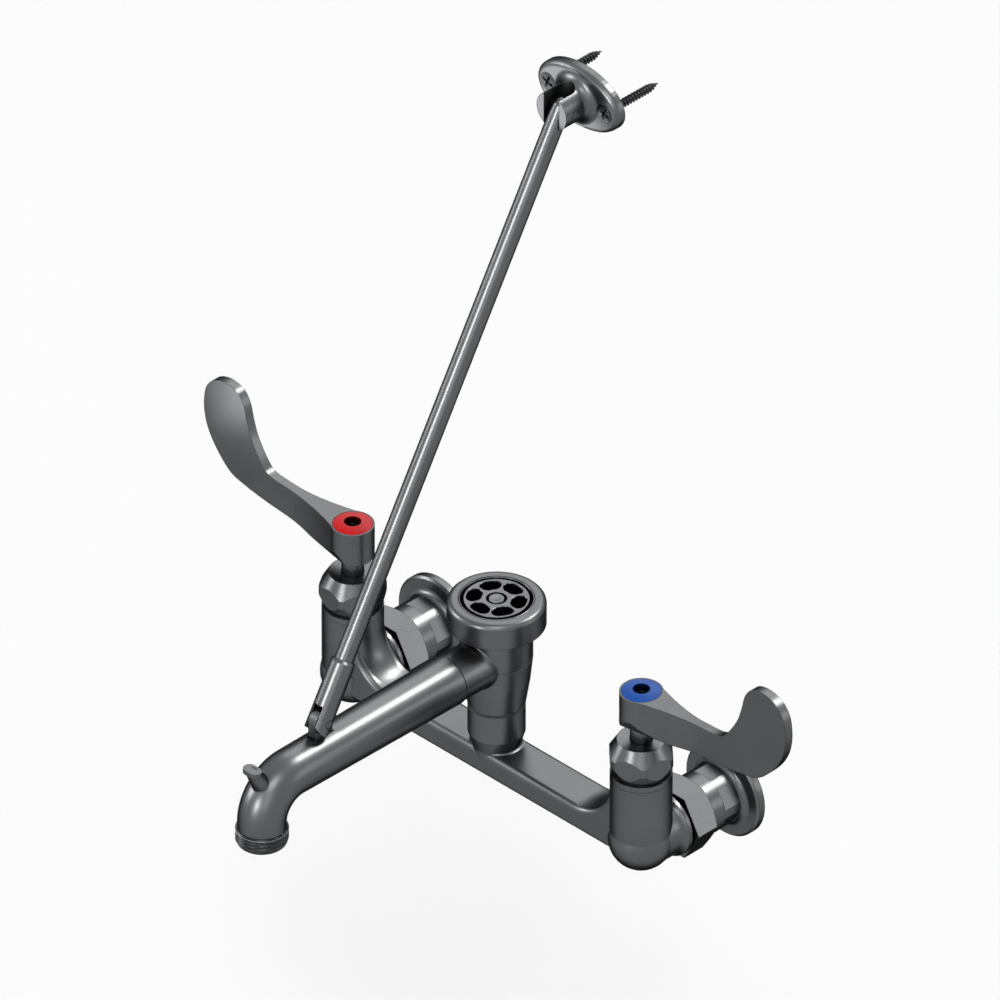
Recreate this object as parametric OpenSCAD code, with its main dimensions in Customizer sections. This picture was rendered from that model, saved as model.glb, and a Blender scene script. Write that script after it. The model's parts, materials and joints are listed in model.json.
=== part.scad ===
// Wall-mounted service sink faucet: a two-valve manifold with wrist-blade handles, a vacuum
// breaker tower, a spout with a pail hook and a hose outlet, and a brace rod that ties the
// spout to a wall bracket.
// Millimetres. The origin lies on the wall face, midway between the two water inlets.
// X runs along the wall to the right, Y runs into the wall, Z is up.

/* [Wall inlets] */
// Distance between the axes of the two inlets
inlet_spacing = 203.2; // [190:0.1:230]
// Distance from the wall to the valve axes
valve_reach = 61.7; // [60:0.1:80]
// Radius of the round flange against the wall
wall_flange_r = 25.7; // [22:0.1:32]
// Thickness of the flange at its rim
wall_flange_t = 5; // [2.5:0.1:6]
// Distance from a valve's axis to the front of its coupling nut
neck_run = 20.2; // [20.2:0.1:24]
// Radius of the inlet barrel
barrel_r = 16.5; // [15:0.1:18]
// Distance across the wrench flats of the barrel
barrel_flats = 30.8; // [29:0.1:32.4]
// Radius of the threaded supply hole at the wall
supply_r = 10.3; // [9:0.1:11]
// Depth of the threaded supply hole
supply_depth = 14; // [10:0.5:18]
// Radius of the tailpiece inside the coupling nut
tail_r = 12; // [11:0.1:12.8]

/* [Coupling nuts] */
// Distance across the flats of a coupling nut
nut_flats = 35.6; // [33:0.1:38]
// Length of a coupling nut
nut_length = 14.5; // [13:0.1:15.5]
// Thickness of the nut's inner shoulder
nut_shoulder_t = 3; // [2:0.1:4]
// Width of the chamfer on the nut's corners at its end towards the wall
nut_chamfer = 1.6; // [0.5:0.1:2.5]

/* [Valve body] */
// Outer radius of each upright valve body
valve_r = 15.7; // [14.8:0.1:16.4]
// Height of the valve body's top above the inlet axis
valve_top = 38; // [37:0.1:46]
// Radius of the ball at the foot of each valve body
ball_r = 16.6; // [16:0.1:19]
// Radius of the neck that runs back to the nut
neck_r = 15.9; // [15.2:0.1:16.4]
// Radius of the rim at the end of the neck
neck_rim_r = 17.8; // [17:0.1:19]
// Width of the neck's rim along its axis
neck_rim_w = 2.2; // [1:0.1:4]
// Radius of the external thread that the nut runs on
neck_thread_r = 14.9; // [14.2:0.1:15.1]
// Radius of the chamber bored for the cartridge
chamber_r = 12.6; // [12:0.1:12.8]
// Height of the valve seat above the inlet axis
seat_z = 10; // [9.5:0.1:12]
// Radius of the waterway through the neck
neck_bore_r = 7; // [5:0.1:7.4]
// Radius of the port that carries water from the chamber to the manifold
port_r = 2.7; // [2:0.1:3]

/* [Manifold] */
// Depth of the manifold bar, front to back
bar_w = 24; // [20:0.5:28]
// Height of the manifold bar
bar_h = 14.2; // [13:0.1:16]
// Height of the bar's centre line above the inlet axis
bar_z = 0.4; // [-1:0.1:1]
// Radius of the bar's long edges
bar_edge_r = 3; // [1:0.1:5]
// Radius of the sweep from the bar up to each valve body
valve_sweep_r = 25; // [20:0.5:26]
// Radius of the fillet from the bar up to the riser
riser_fillet_r = 2; // [1:0.1:3]
// Radius of the waterway along the bar
bar_bore_r = 4.6; // [3:0.1:5]
// Radius of the centre riser
riser_r = 14.6; // [13.8:0.1:18]
// Height of the riser's top
riser_top = 31.7; // [29:0.1:36]
// Height over the bar in which the riser widens from its waist
riser_swell_h = 8; // [4:0.1:10]
// How far the riser's waist stands out of the bar's front and back
waist_out = 0.3; // [0.2:0.1:1.5]

/* [Bonnets] */
// Distance across the flats of the bonnet's hexagon
bonnet_flats = 31; // [29:0.1:33]
// Radius of the bonnet's flat top
bonnet_top_r = 12.3; // [10:0.1:12.8]
// Height of the bonnet above the valve body
bonnet_h = 22.7; // [18:0.1:26]
// Height of the round ring under the hexagon
bonnet_ring_h = 3.3; // [1:0.1:4]
// Radius to which the hexagon's corners are turned
bonnet_turned_r = 17.1; // [16:0.1:17.8]
// Radius of the bonnet's foot, just over its ring
bonnet_foot_r = 14.4; // [13.4:0.1:15.5]
// Slope of the chamfer over the hexagon, out for each unit down
bonnet_slope = 0.61; // [0.5:0.01:0.9]
// Slope of the chamfer under the hexagon, out for each unit up
bonnet_under_slope = 0.39; // [0.3:0.01:0.6]
// Length of the bonnet's thread inside the valve body
bonnet_thread_h = 9; // [6:0.5:11]
// Turn of the hot bonnet's hexagon in degrees
hot_bonnet_turn = -5; // [-30:1:30]
// Turn of the cold bonnet's hexagon in degrees
cold_bonnet_turn = 19; // [-30:1:30]

/* [Cartridges and stems] */
// Outer radius of the cartridge sleeve
cartridge_r = 11; // [10.8:0.1:11.4]
// Wall of the cartridge sleeve
cartridge_wall = 1.3; // [1:0.1:1.6]
// Thickness of each ceramic disc
disc_t = 3; // [2:0.1:3.5]
// Thickness of the rubber seat seal
seal_t = 2; // [1.5:0.1:3]
// Radius of the stem where it shows above the bonnet
stem_r = 5.7; // [5:0.1:6.2]
// Radius of the broached top of the stem
broach_r = 4.3; // [3.5:0.1:4.6]
// Height of the broached top
broach_h = 9; // [7:0.5:10]

/* [Handles] */
// Gap between the bonnet's top and the handle's hub
handle_lift = 10.3; // [5:0.1:16]
// Radius of the handle's hub
hub_r = 11.1; // [10.6:0.1:13]
// Height of the handle's hub
hub_h = 18.6; // [17:0.1:24]
// Reach of the blade from the stem's axis
blade_reach = 102.7; // [90:0.1:150]
// Rise of the blade from the hub's foot to its top
blade_rise = 61.9; // [50:0.1:80]
// Thickness of the blade
blade_t = 5; // [3:0.1:7]
// Length over which the arm narrows to the blade
arm_taper = 42; // [30:1:60]
// Outer radius of the coloured index ring
index_r = 10.1; // [8:0.1:10.4]
// Inner radius of the coloured index ring
index_hole_r = 4.4; // [4.4:0.1:5.4]
// Depth of the index ring in the hub
index_t = 3; // [2:0.1:4]
// Height of the index ring's dome over the hub
index_crown = 1.6; // [0.6:0.1:2.5]
// Angle that each handle turns from shut to fully open
handle_turn = 90; // [60:1:90]

/* [Vacuum breaker] */
// Radius of the breaker body at its foot
breaker_foot_r = 14.8; // [14:0.1:17]
// Radius of the breaker body above the taper
breaker_r = 18.3; // [17:0.1:20]
// Height of the turned groove where the taper ends
breaker_crease_z = 60.9; // [56:0.1:68]
// Bulge of the taper half way up
breaker_bulge = 0.4; // [0:0.1:0.8]
// Height of the breaker body's top, under the cap
breaker_top = 84; // [80:0.1:92]
// Thickness of the gasket on the riser
gasket_t = 1.5; // [1:0.1:3]
// Radius of the chamber that the float moves in
float_chamber_r = 14; // [13:0.1:14.6]
// Radius of the float's lower plate
float_r = 10.5; // [9:0.1:12]
// Travel of the float from its seat to the air vent
float_travel = 3.5; // [2:0.1:5]
// Radius of the float's guide stem
float_stem_r = 2.9; // [2:0.1:3.5]
// Number of air holes in the vent plate
vent_holes = 6; // [4:1:8]
// Radius of the cap
cap_r = 25; // [22:0.1:30]
// Height of the cap's lower rim
cap_bottom = 80.8; // [78:0.1:83]
// Height of the cap
cap_h = 14.1; // [12:0.1:18]
// Thickness of the cap's wall
cap_wall = 2.4; // [1.5:0.1:3]
// Radius of the plain disc set in the cap's top
cap_plate_r = 19.1; // [15:0.1:21]

/* [Spout] */
// Height of the spout's axis
spout_z = 62; // [60:0.1:66]
// Distance from the breaker's axis to the spout's rear face
branch_length = 34.3; // [30.3:0.1:42.3]
// Distance from the wall to the outlet's axis
spout_reach = 226.3; // [210:0.1:300]
// Outer radius of the spout at its rear
spout_rear_r = 13.35; // [12.8:0.05:15]
// Outer radius of the spout at its bend
spout_r = 12.4; // [11.6:0.1:13]
// Bore of the spout
spout_bore_r = 9.5; // [8:0.1:9.8]
// Radius of the bend's centre line
bend_r = 20; // [16:0.5:22]
// Radius of the branch from the breaker body to the spout
branch_r = 12.8; // [12:0.1:13.4]
// Bore of the branch
branch_bore_r = 7.6; // [6:0.1:8]

/* [Hose outlet] */
// Radius over the hose thread
hose_r = 13.5; // [13:0.1:14.5]
// Height of the hose ring's lower face
hose_bottom = 29.9; // [26:0.1:31]
// Height of the hose ring's upper face
hose_top = 39.3; // [37:0.1:41]

/* [Pail hook] */
// Distance of the hook's foot from the outlet's axis, towards the wall
hook_foot_back = 1.5; // [0:0.1:4]
// Distance of the hook's head in front of the outlet's axis
hook_tip_out = 6.4; // [4:0.1:12]
// Height of the hook's flat head
hook_tip_z = 76.6; // [75:0.1:84]
// Radius of the hook at its foot
hook_foot_r = 5.5; // [4:0.1:7]
// Radius of the hook's neck
hook_neck_r = 3; // [2.5:0.1:4]
// Width of the hook's oblong head
hook_head_w = 10.8; // [8:0.1:14]
// Depth of the hook's oblong head, front to back
hook_head_d = 6.8; // [6.2:0.1:8]
// Thickness of the hook's head
hook_head_t = 2.4; // [1.5:0.1:3.5]

/* [Brace rod] */
// Distance of the lower pin behind the outlet's axis
lower_pin_back = 41; // [30:0.1:70]
// Height of the lower pin
lower_pin_z = 83; // [82.5:0.1:90]
// Height of the upper pin
upper_pin_z = 370.5; // [300:0.5:500]
// Radius of the brace rod
rod_r = 5; // [4:0.1:5.5]
// Radius of the fork fitting
fork_r = 6.4; // [6:0.1:7.5]
// Radius of the fork's rounded end
fork_eye_r = 6.6; // [6.4:0.1:7.2]
// Length of the fork from its pin to the rod
fork_length = 33; // [28:0.5:45]
// Thickness of the lug on the spout
lug_t = 5; // [4:0.1:6]
// Outer radius of the lug round its pin
lug_r = 6; // [5:0.1:6.2]
// Radius of both brace pins
pin_r = 2.4; // [2:0.1:3]

/* [Wall bracket] */
// Half width of the bracket's oval flange
bracket_half_w = 28.3; // [26:0.1:36]
// Half height of the bracket's oval flange
bracket_half_h = 17.3; // [15:0.1:24]
// Thickness of the bracket's flange
bracket_t = 6; // [4:0.1:7]
// Distance from the wall to the upper pin
upper_pin_reach = 16.3; // [15:0.1:22]
// Radius of the round post that holds the upper pin
post_r = 10.4; // [9:0.1:11.5]
// Length of the post in front of the upper pin
post_nose = 7.1; // [5.5:0.1:10]
// Distance from the wall to the rounded back of the post's slot
slot_back = 9; // [8:0.1:9.6]
// Radius of the fillet between the post and the flange
post_fillet_r = 5.5; // [3:0.1:5.6]
// Distance between the two screws
screw_spacing = 39.4; // [38:0.1:44]
// Radius of a wall screw's shank
screw_r = 2.4; // [2:0.1:3]
// Radius of a wall screw's head
screw_head_r = 5.2; // [4.5:0.1:5.6]
// Length that a wall screw stands behind the wall face
screw_reach = 31.7; // [20:0.5:50]

/* [Hidden] */
$fn = 96;
chrome = [0.62, 0.63, 0.64];
brass = [0.78, 0.66, 0.36];
rubber = [0.12, 0.12, 0.12];
ceramic = [0.92, 0.9, 0.84];
hot_red = [0.78, 0.06, 0.07];
cold_blue = [0.08, 0.26, 0.66];
black_steel = [0.2, 0.2, 0.21];
// Overrun of every cut past the face that it opens
cut = 1;
// Radial clearance of threaded and seated round fits
fit_gap = 0.05;
// Running clearance at every moving face
run_gap = 0.05;
// Free space beside parts that only pass each other
pass_gap = 0.3;

// The neck ends one nut shoulder, tail lip and washer in front of the barrel
lip_t = 2;
washer_t = 2;
nut_front = valve_reach - neck_run;
barrel_length = nut_front - nut_length;
neck_end = barrel_length + nut_shoulder_t + lip_t + washer_t;
rim_gap = 1.5;
rim_back = nut_front + rim_gap;
neck_flare_r = 6;
neck_flare_out = neck_flare_r - (neck_rim_r - neck_r);
neck_flare_w = sqrt(pow(neck_flare_r, 2) - pow(neck_flare_out, 2));
bar_top = bar_z + bar_h / 2;
bar_bottom = bar_z - bar_h / 2;
valve_x = inlet_spacing / 2;
waist_r = bar_w / 2 + waist_out;
// Each sweep ends upright inside the valve body, and stays clear of the bar's underside
sweep_end = 11.7;
sweep_inset = 0.7;
sweep_depth = bar_h - sweep_inset;
valve_fillet_r = valve_sweep_r + sweep_end - valve_r;
// The port is drilled down beside the seat, in the wall that faces the riser
port_offset = (neck_bore_r + chamber_r) / 2 + port_r / 2;
seat_lip = 1;
seat_bore_r = neck_bore_r - seat_lip;

// Heights in the valve, from the seat up
fixed_z = seat_z + seal_t;
moving_z = fixed_z + disc_t;
drive_z = moving_z + disc_t;
drive_h = 3;
disc_r = cartridge_r - cartridge_wall - fit_gap;
disc_web = 1.8;
cartridge_top = valve_top - bonnet_thread_h;
bonnet_z = valve_top;
bonnet_top_z = bonnet_z + bonnet_h;
spindle_step = 0.7;
spindle_r = stem_r - spindle_step;
hub_z = bonnet_top_z + handle_lift;
hub_top = hub_z + hub_h;
o_ring_r = 1.1;
groove_share = 0.35;
stem_groove_z = bonnet_z + bonnet_h * groove_share;
handle_screw_r = 2;
handle_screw_head_r = 4;
handle_screw_head_h = 2.6;
hub_web_t = 2;
// A slanted facet relieves the hub and the arm along their lower edges
relief_in = 2;
relief_turn = 10.6;
relief_tilt = 68;
relief_length = (hub_r - relief_in - blade_t / 2) / sin(relief_turn);

// Vacuum breaker
breaker_foot = riser_top + gasket_t;
breaker_thread_r = 10.4;
breaker_thread_h = 11;
breaker_bore_r = 7;
float_seat_z = 48;
float_seat_h = 3;
float_seat_w = 2;
float_plate_t = 3;
float_seal_t = 2;
vent_plate_t = 3;
vent_plate_z = 78.4;
vent_thread_r = 15.2;
vent_hole_r = 1.7;
vent_circle_r = 7;
vent_hub_r = 5;
upper_seal_r = 10;
cap_top = cap_bottom + cap_h;
cap_edge_r = 3;
cap_boss_r = 8;
cap_plate_t = 1;

// Spout
spout_rear = valve_reach + branch_length;
branch_front = spout_rear - gasket_t / 2;
nipple_r = 10.3;
nipple_length = 12;
bend_y = spout_reach - bend_r;
bend_z = spout_z - bend_r;
hose_nipple_r = 11.3;
hose_washer_t = 2.6;
hose_lip = 1.1;
hook_neck_top = hook_tip_z - hook_head_t;
hook_lean = atan((hook_tip_out + hook_foot_back) / (hook_neck_top - spout_z));

// Brace: the rod lies in the plane X = 0 between its two pins
lower_pin_reach = spout_reach - lower_pin_back;
rod_run = lower_pin_reach - upper_pin_reach;
rod_rise = upper_pin_z - lower_pin_z;
pin_distance = norm([rod_run, rod_rise]);
rod_tilt = atan2(rod_run, rod_rise);
fork_slot_w = lug_t + 2 * pass_gap;
crotch_gap = 1.6;
fork_crotch = lug_r + crotch_gap;
fork_chamfer = 1.4;
rod_thread_depth = 1;
rod_thread_r = rod_r - rod_thread_depth;
rod_thread_h = 14;
// Each pin ends just inside the curved sides of the piece that holds it
lower_pin_half = sqrt(pow(fork_r, 2) - pow(pin_r, 2));
upper_pin_half = sqrt(pow(post_r, 2) - pow(pin_r, 2));
bracket_slot_w = 2 * rod_r + 2 * pass_gap;
screw_head_t = 3;
screw_point = 6;
// Under its head each screw is plain, and thinner than over its thread
shank_step = 0.3;

// Blade outline as shares of the blade's reach and rise, from the hub's foot round to its top
blade_shares = [
    [0.248, 0], [0.409, 0.036], [0.56, 0.059], [0.711, 0.097], [0.822, 0.152],
    [0.915, 0.302], [0.975, 0.46], [1, 0.62], [0.999, 0.76], [0.983, 0.866],
    [0.943, 0.95], [0.885, 0.994], [0.823, 1], [0.765, 0.964], [0.725, 0.87],
    [0.702, 0.727], [0.671, 0.582], [0.604, 0.407], [0.546, 0.335], [0.432, 0.317],
    [0.302, 0.307]
];
curve_steps = 6;

// Points on a smooth curve through the given points, by Catmull and Rom's rule
function mid_point(a, b, c, d, t) =
    0.5 * (2 * b + (c - a) * t + (2 * a - 5 * b + 4 * c - d) * t * t
    + (3 * b - a - 3 * c + d) * t * t * t);
function smooth(p, steps) = [
    for (i = [0 : len(p) - 2], s = [0 : steps - 1])
        mid_point(p[max(i - 1, 0)], p[i], p[i + 1], p[min(i + 2, len(p) - 1)], s / steps),
    p[len(p) - 1]
];

// Places its children on an inlet axis, a distance w from the wall, with +Z into the room
module from_wall(side, w) translate([side * valve_x, -w, 0]) rotate([90, 0, 0]) children();

// Places its children on a valve's upright axis
module on_valve(side, z) translate([side * valve_x, -valve_reach, z]) children();

// Places its children on the breaker's upright axis
module on_riser(z) translate([0, -valve_reach, z]) children();

// Places its children on the spout's axis, a distance w from the wall, with +Z into the room
module on_spout(w) translate([0, -w, spout_z]) rotate([90, 0, 0]) children();

// Places its children on the lower pin, with +Z up the rod
module on_rod(w) translate([0, -lower_pin_reach, lower_pin_z]) rotate([-rod_tilt, 0, 0])
    translate([0, 0, w]) children();

// A hexagonal prism of a given size across flats, with a corner on +X
module hexagon(flats, h) cylinder(r = flats / sqrt(3), h = h, $fn = 6);

module ring(outer_r, inner_r, h) difference() {
    cylinder(r = outer_r, h = h);
    translate([0, 0, -cut]) cylinder(r = inner_r, h = h + 2 * cut);
}

// A concave fillet round the foot of an upright, standing on the plane Z = 0
module foot_fillet(r, fillet) rotate_extrude() difference() {
    translate([r - cut, -cut]) square([fillet + cut, fillet + cut]);
    translate([r + fillet, fillet]) circle(r = fillet);
}

// Solid outside of the casting
module bar_section(w, h) union() {
    square([w - 2 * bar_edge_r, h], center = true);
    square([w, h - 2 * bar_edge_r], center = true);
    for (y = [-1, 1], z = [-1, 1])
        translate([y * (w / 2 - bar_edge_r), z * (h / 2 - bar_edge_r)])
            circle(r = bar_edge_r);
}

module bar() translate([-valve_x, -valve_reach, bar_z]) rotate([90, 0, 90])
    linear_extrude(height = inlet_spacing) bar_section(bar_w, bar_h);

// The bar's end bends up into the cold valve body
module valve_sweep() translate([valve_x - sweep_end - valve_sweep_r, -valve_reach,
    bar_top + valve_sweep_r]) rotate([90, 0, 0]) rotate([0, 0, -90]) rotate_extrude(angle = 90)
    translate([valve_sweep_r + sweep_depth / 2, 0]) bar_section(sweep_depth, bar_w);

module fillet_limits() translate([0, -valve_reach, bar_top])
    cube([inlet_spacing, bar_w - bar_edge_r, 2 * (valve_fillet_r + cut)], center = true);

module neck_section() union() {
    translate([0, neck_end]) square([neck_thread_r, valve_reach - neck_end]);
    translate([0, rim_back]) square([neck_rim_r, neck_rim_w]);
    difference() {
        translate([0, rim_back + neck_rim_w]) square([neck_rim_r, neck_flare_w]);
        translate([neck_r + neck_flare_r, rim_back + neck_rim_w + neck_flare_w])
            circle(r = neck_flare_r);
    }
    translate([0, rim_back + neck_rim_w])
        square([neck_r, valve_reach - rim_back - neck_rim_w]);
}

module valve_shell(side) {
    on_valve(side, 0) {
        sphere(r = ball_r);
        cylinder(r = valve_r, h = valve_top);
    }
    from_wall(side, 0) rotate_extrude() neck_section();
}

// Waterways of one valve: the chamber over the seat, the pocket under it and the side port
module valve_waterway(side) {
    on_valve(side, seat_z) cylinder(r = chamber_r, h = valve_top - seat_z + cut);
    on_valve(side, 0) sphere(r = neck_bore_r);
    on_valve(side, 0) cylinder(r = seat_bore_r, h = seat_z + cut);
    from_wall(side, neck_end - cut) cylinder(r = neck_bore_r, h = valve_reach - neck_end + cut);
    translate([side * (valve_x - port_offset), -valve_reach, bar_z])
        cylinder(r = port_r, h = seat_z - bar_z + cut);
}

module body() color(chrome) difference() {
    union() {
        bar();
        valve_sweep();
        mirror([1, 0, 0]) valve_sweep();
        intersection() {
            fillet_limits();
            union() {
                for (side = [-1, 1])
                    on_valve(side, bar_top) foot_fillet(valve_r, valve_fillet_r);
                on_riser(bar_top) foot_fillet(waist_r, riser_fillet_r);
            }
        }
        for (side = [-1, 1]) valve_shell(side);
        on_riser(bar_bottom + bar_edge_r) cylinder(r1 = bar_w / 2 - waist_out, r2 = waist_r,
            h = bar_h - bar_edge_r);
        on_riser(bar_top) cylinder(r1 = waist_r, r2 = riser_r, h = riser_swell_h);
        on_riser(bar_top + riser_swell_h) cylinder(r = riser_r,
            h = riser_top - bar_top - riser_swell_h);
    }
    for (side = [-1, 1]) valve_waterway(side);
    translate([port_offset - valve_x, -valve_reach, bar_z]) rotate([0, 90, 0])
        cylinder(r = bar_bore_r, h = inlet_spacing - 2 * port_offset);
    on_riser(bar_z) cylinder(r = breaker_bore_r, h = riser_top - bar_z + cut);
    on_riser(riser_top - breaker_thread_h) cylinder(r = breaker_thread_r + fit_gap,
        h = breaker_thread_h + cut);
}

// Round wall flange and inlet barrel in one piece
flange_step = 1.2;
flange_fillet_r = 3.5;
flats_from = wall_flange_t + flange_fillet_r;
flats_end_share = 0.69;
flats_to = barrel_length * flats_end_share;
tail_thread_h = 9;
tail_thread_depth = 1;
tail_thread_r = tail_r - tail_thread_depth;
module wall_flange_piece(side) color(chrome) from_wall(side, 0) difference() {
    union() {
        cylinder(r = wall_flange_r, h = wall_flange_t - flange_step);
        translate([0, 0, wall_flange_t - flange_step])
            cylinder(r1 = wall_flange_r, r2 = wall_flange_r - flange_step, h = flange_step);
        translate([0, 0, wall_flange_t]) foot_fillet(barrel_r, flange_fillet_r);
        intersection() {
            cylinder(r = barrel_r, h = barrel_length);
            union() {
                cylinder(r = barrel_r + cut, h = flats_from);
                hexagon(barrel_flats, barrel_length);
                translate([0, 0, flats_to]) cylinder(r = barrel_r + cut,
                    h = barrel_length - flats_to + cut);
            }
        }
    }
    translate([0, 0, -cut]) cylinder(r = supply_r, h = supply_depth + cut);
    cylinder(r = neck_bore_r, h = barrel_length + cut);
    translate([0, 0, barrel_length - tail_thread_h])
        cylinder(r = tail_thread_r + fit_gap, h = tail_thread_h + cut);
}
module hot_wall_flange() wall_flange_piece(-1);
module cold_wall_flange() wall_flange_piece(1);

// Tailpiece: screwed into the barrel, with a lip that the nut draws against the neck
lip_gap = 0.4;
lip_r = neck_thread_r - lip_gap;
module tailpiece(side) color(brass) from_wall(side, 0) difference() {
    union() {
        translate([0, 0, barrel_length - tail_thread_h])
            cylinder(r = tail_thread_r, h = tail_thread_h);
        translate([0, 0, barrel_length]) cylinder(r = tail_r, h = nut_shoulder_t);
        translate([0, 0, barrel_length + nut_shoulder_t]) cylinder(r = lip_r, h = lip_t);
    }
    translate([0, 0, barrel_length - tail_thread_h - cut])
        cylinder(r = neck_bore_r, h = neck_end);
}
module hot_tailpiece() tailpiece(-1);
module cold_tailpiece() tailpiece(1);

module inlet_washer(side) color(rubber) from_wall(side, neck_end - washer_t)
    ring(lip_r, neck_bore_r, washer_t);
module hot_inlet_washer() inlet_washer(-1);
module cold_inlet_washer() inlet_washer(1);

// Hexagonal nut with its corners turned off at the wall end, bored for the tail and the thread
nut_corner_r = nut_flats / sqrt(3);
nut_slope_share = 1.7;
nut_end_r = nut_corner_r - nut_chamfer * nut_slope_share;
module coupling_nut(side) color(chrome) from_wall(side, barrel_length) difference() {
    intersection() {
        hexagon(nut_flats, nut_length);
        rotate_extrude() polygon([
            [0, 0], [nut_end_r, 0], [nut_corner_r, nut_chamfer],
            [nut_corner_r, nut_length], [0, nut_length]
        ]);
    }
    translate([0, 0, -cut]) cylinder(r = tail_r + fit_gap, h = nut_length + 2 * cut);
    translate([0, 0, nut_shoulder_t]) cylinder(r = neck_thread_r + fit_gap, h = nut_length);
}
module hot_coupling_nut() coupling_nut(-1);
module cold_coupling_nut() coupling_nut(1);

// Bonnet: a hexagon turned to a cone above and below, threaded into the valve body
hexagon_h = bonnet_h - bonnet_ring_h;
module bonnet(side, turn) color(chrome) on_valve(side, 0) difference() {
    union() {
        translate([0, 0, cartridge_top])
            cylinder(r = chamber_r - fit_gap, h = bonnet_thread_h + cut);
        translate([0, 0, bonnet_z]) cylinder(r = valve_r, h = bonnet_ring_h);
        translate([0, 0, bonnet_z + bonnet_ring_h]) intersection() {
            rotate([0, 0, turn]) hexagon(bonnet_flats, hexagon_h);
            cylinder(r1 = bonnet_top_r + bonnet_slope * hexagon_h, r2 = bonnet_top_r,
                h = hexagon_h);
            cylinder(r1 = bonnet_foot_r, r2 = bonnet_foot_r + bonnet_under_slope * hexagon_h,
                h = hexagon_h);
            cylinder(r = bonnet_turned_r, h = hexagon_h);
        }
    }
    translate([0, 0, cartridge_top - cut]) cylinder(r = spindle_r + run_gap,
        h = bonnet_top_z - cartridge_top + 2 * cut);
    translate([0, 0, stem_groove_z + 2 * o_ring_r]) cylinder(r = stem_r + run_gap,
        h = bonnet_top_z - stem_groove_z);
    translate([0, 0, stem_groove_z - o_ring_r]) cylinder(r = spindle_r + 2 * o_ring_r,
        h = 3 * o_ring_r);
}
module hot_bonnet() bonnet(-1, hot_bonnet_turn);
module cold_bonnet() bonnet(1, cold_bonnet_turn);

// Cartridge sleeve: open at the foot, windowed above the discs, with a bearing for the stem
window_h = 6;
window_w = 8;
bearing_h = 3;
module cartridge(side) color(brass) on_valve(side, 0) difference() {
    translate([0, 0, fixed_z]) cylinder(r = cartridge_r, h = cartridge_top - fixed_z);
    translate([0, 0, fixed_z - cut]) cylinder(r = cartridge_r - cartridge_wall,
        h = cartridge_top - bearing_h - fixed_z + cut);
    translate([0, 0, fixed_z]) cylinder(r = spindle_r + run_gap,
        h = cartridge_top - fixed_z + cut);
    for (turn = [0, 90]) rotate([0, 0, turn])
        translate([-cartridge_r - cut, -window_w / 2, drive_z])
            cube([2 * (cartridge_r + cut), window_w, window_h]);
}
module hot_cartridge() cartridge(-1);
module cold_cartridge() cartridge(1);

module seat_seal(side) color(rubber) on_valve(side, seat_z)
    ring(cartridge_r, seat_bore_r, seal_t);
module hot_seat_seal() seat_seal(-1);
module cold_seat_seal() seat_seal(1);

// A ceramic disc with two round ports opposite each other, on the line at the given turn
module port_disc(turn, t) difference() {
    cylinder(r = disc_r, h = t);
    for (half = [0, 180]) rotate([0, 0, turn + half])
        translate([disc_r / 2, 0, -cut]) cylinder(r = disc_r / 2 - disc_web, h = t + 2 * cut);
}
module fixed_disc(side) color(ceramic) on_valve(side, fixed_z) port_disc(0, disc_t);
module moving_disc(side) color(ceramic) on_valve(side, moving_z + run_gap)
    port_disc(handle_turn, disc_t - run_gap);
module hot_fixed_disc() fixed_disc(-1);
module cold_fixed_disc() fixed_disc(1);
module hot_moving_disc() moving_disc(-1);
module cold_moving_disc() moving_disc(1);

// Stem: a drive plate on the moving disc, the spindle, the thicker neck and the broached top
module stem(side) color(chrome) on_valve(side, 0) difference() {
    union() {
        translate([0, 0, drive_z]) cylinder(r = disc_r - run_gap, h = drive_h);
        translate([0, 0, drive_z]) cylinder(r = spindle_r, h = hub_z - drive_z);
        translate([0, 0, stem_groove_z + 2 * o_ring_r + run_gap])
            cylinder(r = stem_r, h = hub_z - stem_groove_z - 2 * o_ring_r - run_gap);
        translate([0, 0, hub_z]) cylinder(r = broach_r, h = broach_h, $fn = 12);
    }
    for (half = [0, 180]) rotate([0, 0, handle_turn + half])
        translate([disc_r, 0, drive_z - cut]) cylinder(r = disc_r / 2, h = drive_h + 2 * cut);
    translate([0, 0, hub_z]) cylinder(r = handle_screw_r + fit_gap, h = broach_h + cut);
    translate([0, 0, stem_groove_z]) rotate_extrude() translate([spindle_r, 0])
        circle(r = o_ring_r);
}
module hot_stem() stem(-1);
module cold_stem() stem(1);

module stem_ring(side) color(rubber) on_valve(side, stem_groove_z) rotate_extrude()
    translate([spindle_r, 0]) circle(r = o_ring_r - fit_gap);
module hot_stem_ring() stem_ring(-1);
module cold_stem_ring() stem_ring(1);

// Side outline of the arm and blade
module blade_outline() polygon(concat(
    [[0, 0]],
    [for (p = smooth(blade_shares, curve_steps)) [p[0] * blade_reach, p[1] * blade_rise]],
    [[0, hub_h]]
));

// Plan of the arm: as wide as the hub at its root, narrowing in a curve to the blade
plan_steps = 12;
arm_curve = 1.7;
function arm_half(share) = blade_t / 2 + (hub_r - blade_t / 2) * pow(1 - share, arm_curve);
module arm_plan() polygon(concat(
    [for (i = [0 : plan_steps]) [i / plan_steps * arm_taper, arm_half(i / plan_steps)]],
    [[blade_reach + cut, blade_t / 2], [blade_reach + cut, -blade_t / 2]],
    [for (i = [plan_steps : -1 : 0]) [i / plan_steps * arm_taper, -arm_half(i / plan_steps)]]
));

module arm_relief() translate([0, hub_r - relief_in, 0])
    rotate([0, 0, -relief_turn]) rotate([relief_tilt, 0, 0])
        translate([-hub_r, 0, -hub_r]) cube([hub_r + relief_length, 2 * hub_r, hub_r]);

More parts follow.
